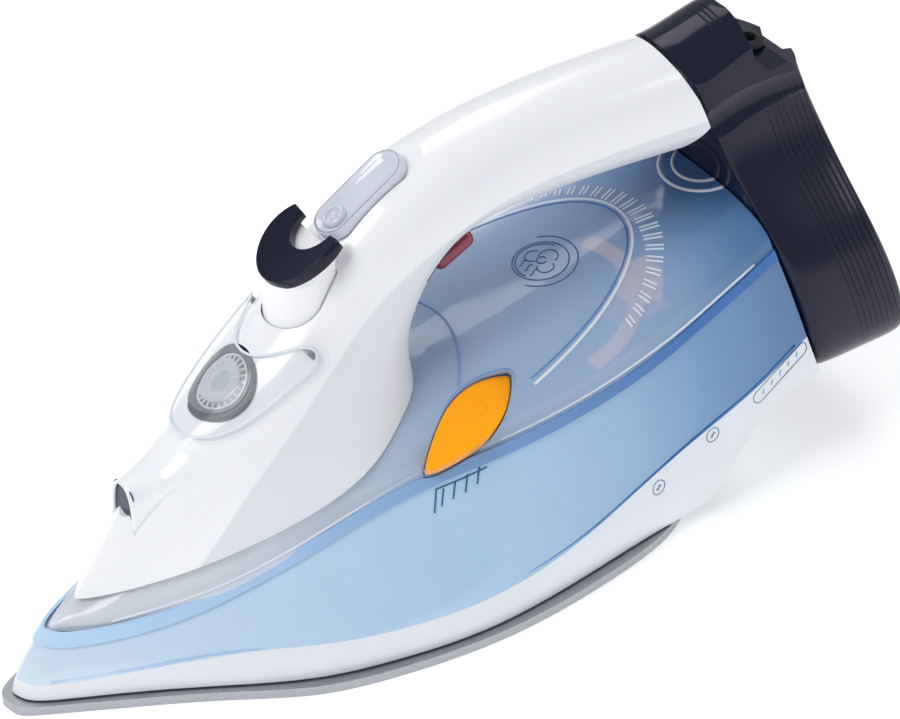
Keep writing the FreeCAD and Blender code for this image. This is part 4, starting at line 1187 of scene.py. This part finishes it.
@dataclass
class Heel:
    """Navy heel with its ribs, hook and cord gland.

    Attributes:
        rest_foot: Foot of the flat rest face, ahead and up.
        rest_lean: How far the rest face leans forward for each millimetre up.
        rib_heights: Lowest and highest point of the ribs.
        rib_start: Distance from the rest face to the first rib.
        rib_count: Number of ribs on each side.
        rib_pitch: Distance between ribs.
        grips: Distances from the nose to the ribs on the hook.
        grip_reach: Half the length of those.
    """

    rest_foot: Pair = (322.9, 46.0)
    rest_lean: float = 0.307
    rib_heights: Pair = (45.0, 136.0)
    rib_start: float = 6.0
    rib_count: int = 8
    rib_pitch: float = 2.3
    grips: Triple = (259.6, 261.4, 263.2)
    grip_reach: float = 8.0

    def build(self) -> None:
        """Dress the heel and raise its ribs."""
        dress({"heel_cap": NAVY_ABS, "cord_gland": RUBBER, "cord_clamp": DARK_NYLON,
               "terminal_block": DARK_NYLON, "control_board": LAMINATE})
        skin = Skin("heel_cap")
        for side, word in SIDES:
            ribs = []
            for index in range(self.rib_count):
                line = []
                for up in spaced(*self.rib_heights, 30):
                    ahead = self.rest_foot[0] - self.rest_lean * (up - self.rest_foot[1])
                    back = self.rib_start + index * self.rib_pitch
                    line.append(skin.beside(ahead - back, up, side))
                ribs.append(line)
            Piece.beads(f"heel_ribs_{word}", ribs, 0.42, NAVY_ABS, "navy_plastic", tapered=True)
        lines = [[skin.over(x, y) for y in spaced(-self.grip_reach, self.grip_reach, 9)]
                 for x in self.grips]
        Piece.beads("hook_ribs", lines, 0.4, NAVY_ABS, "navy_plastic", tapered=True)


@dataclass
class Studio:
    """Floor, lights and camera.

    Attributes:
        azimuth: Camera direction round the iron.
        elevation: Camera height angle.
        distance: Camera distance in metres.
        lens: Focal length.
        sensor: Width of the camera's sensor.
        target: Point that the camera looks at.
        sky: Colour of the pale room.
        sky_strength: Its brightness.
        floor_reach: Half width of the floor in metres.
        floor_gap: How far the floor lies below the ironing surface.
        boxes: Name, place in metres, size in metres and power in watts of each soft box.
        aim: Point in metres that the soft boxes face.
    """

    azimuth: float = -34.0
    elevation: float = 36.0
    distance: float = 1.1
    lens: float = 137.7
    sensor: float = 36.0
    target: Triple = (165.3, 0.0, 66.0)
    sky: str = "#f6f9ff"
    sky_strength: float = 0.46
    floor_reach: float = 2.5
    floor_gap: float = 0.05
    boxes: tuple[tuple[str, Triple, float, float], ...] = (
        ("key", (-1.0, -0.1, 1.2), 0.7, 9.5), ("fill", (1.0, -0.7, 0.6), 0.6, 3.0),
        ("top", (0.3, 0.6, 1.3), 0.7, 4.0))
    aim: Triple = (0.0, 0.0, 0.06)

    def build(self) -> None:
        """Set up the studio."""
        self.floor()
        self.lights()
        self.camera()
        world = bpy.data.worlds.new("pale_room")
        world.use_nodes = True
        sky = world.node_tree.nodes["Background"]
        sky.inputs["Color"].default_value = linear(self.sky)
        sky.inputs["Strength"].default_value = self.sky_strength
        bpy.context.scene.world = world
        bpy.context.scene.view_settings.view_transform = "Standard"

    def floor(self) -> None:
        """Lay the pale floor."""
        bm = bmesh.new()
        bmesh.ops.create_grid(bm, x_segments=4, y_segments=4, size=self.floor_reach)
        bmesh.ops.translate(bm, vec=(0.0, 0.0, -self.floor_gap * MM), verts=bm.verts)
        mesh = as_mesh(bm, "floor")
        mesh.materials.append(TABLE.make())
        plane = bpy.data.objects.new("floor", mesh)
        bpy.context.scene.collection.objects.link(plane)

    def lights(self) -> None:
        """Hang the soft boxes."""
        for name, spot, size, power in self.boxes:
            lamp = bpy.data.lights.new(name, "AREA")
            lamp.shape = "SQUARE"
            lamp.size = size
            lamp.energy = power
            holder = bpy.data.objects.new(name, lamp)
            holder.location = spot
            way = Vector(self.aim) - Vector(spot)
            holder.rotation_euler = way.to_track_quat("-Z", "Y").to_euler()
            bpy.context.scene.collection.objects.link(holder)

    def camera(self) -> None:
        """Place the camera."""
        turn, rise = math.radians(self.azimuth), math.radians(self.elevation)
        back = Vector((math.sin(turn) * math.cos(rise), -math.cos(turn) * math.cos(rise),
                       math.sin(rise)))
        lens = bpy.data.cameras.new("camera")
        lens.lens = self.lens
        lens.sensor_width = self.sensor
        holder = bpy.data.objects.new("camera", lens)
        holder.location = LAYOUT.at(*self.target) + back * self.distance
        holder.rotation_euler = (-back).to_track_quat("-Z", "Y").to_euler()
        bpy.context.scene.collection.objects.link(holder)
        bpy.context.scene.camera = holder


def main() -> None:
    """Build every sub-assembly and the studio."""
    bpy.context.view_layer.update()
    for part in (Sole(), Skirt(), Tank(), Filler(), Handle(), Controls(), Heel()):
        part.build()
        LOG.info("finished %s", type(part).__name__)
    Studio().build()


if __name__ == "__main__":
    main()
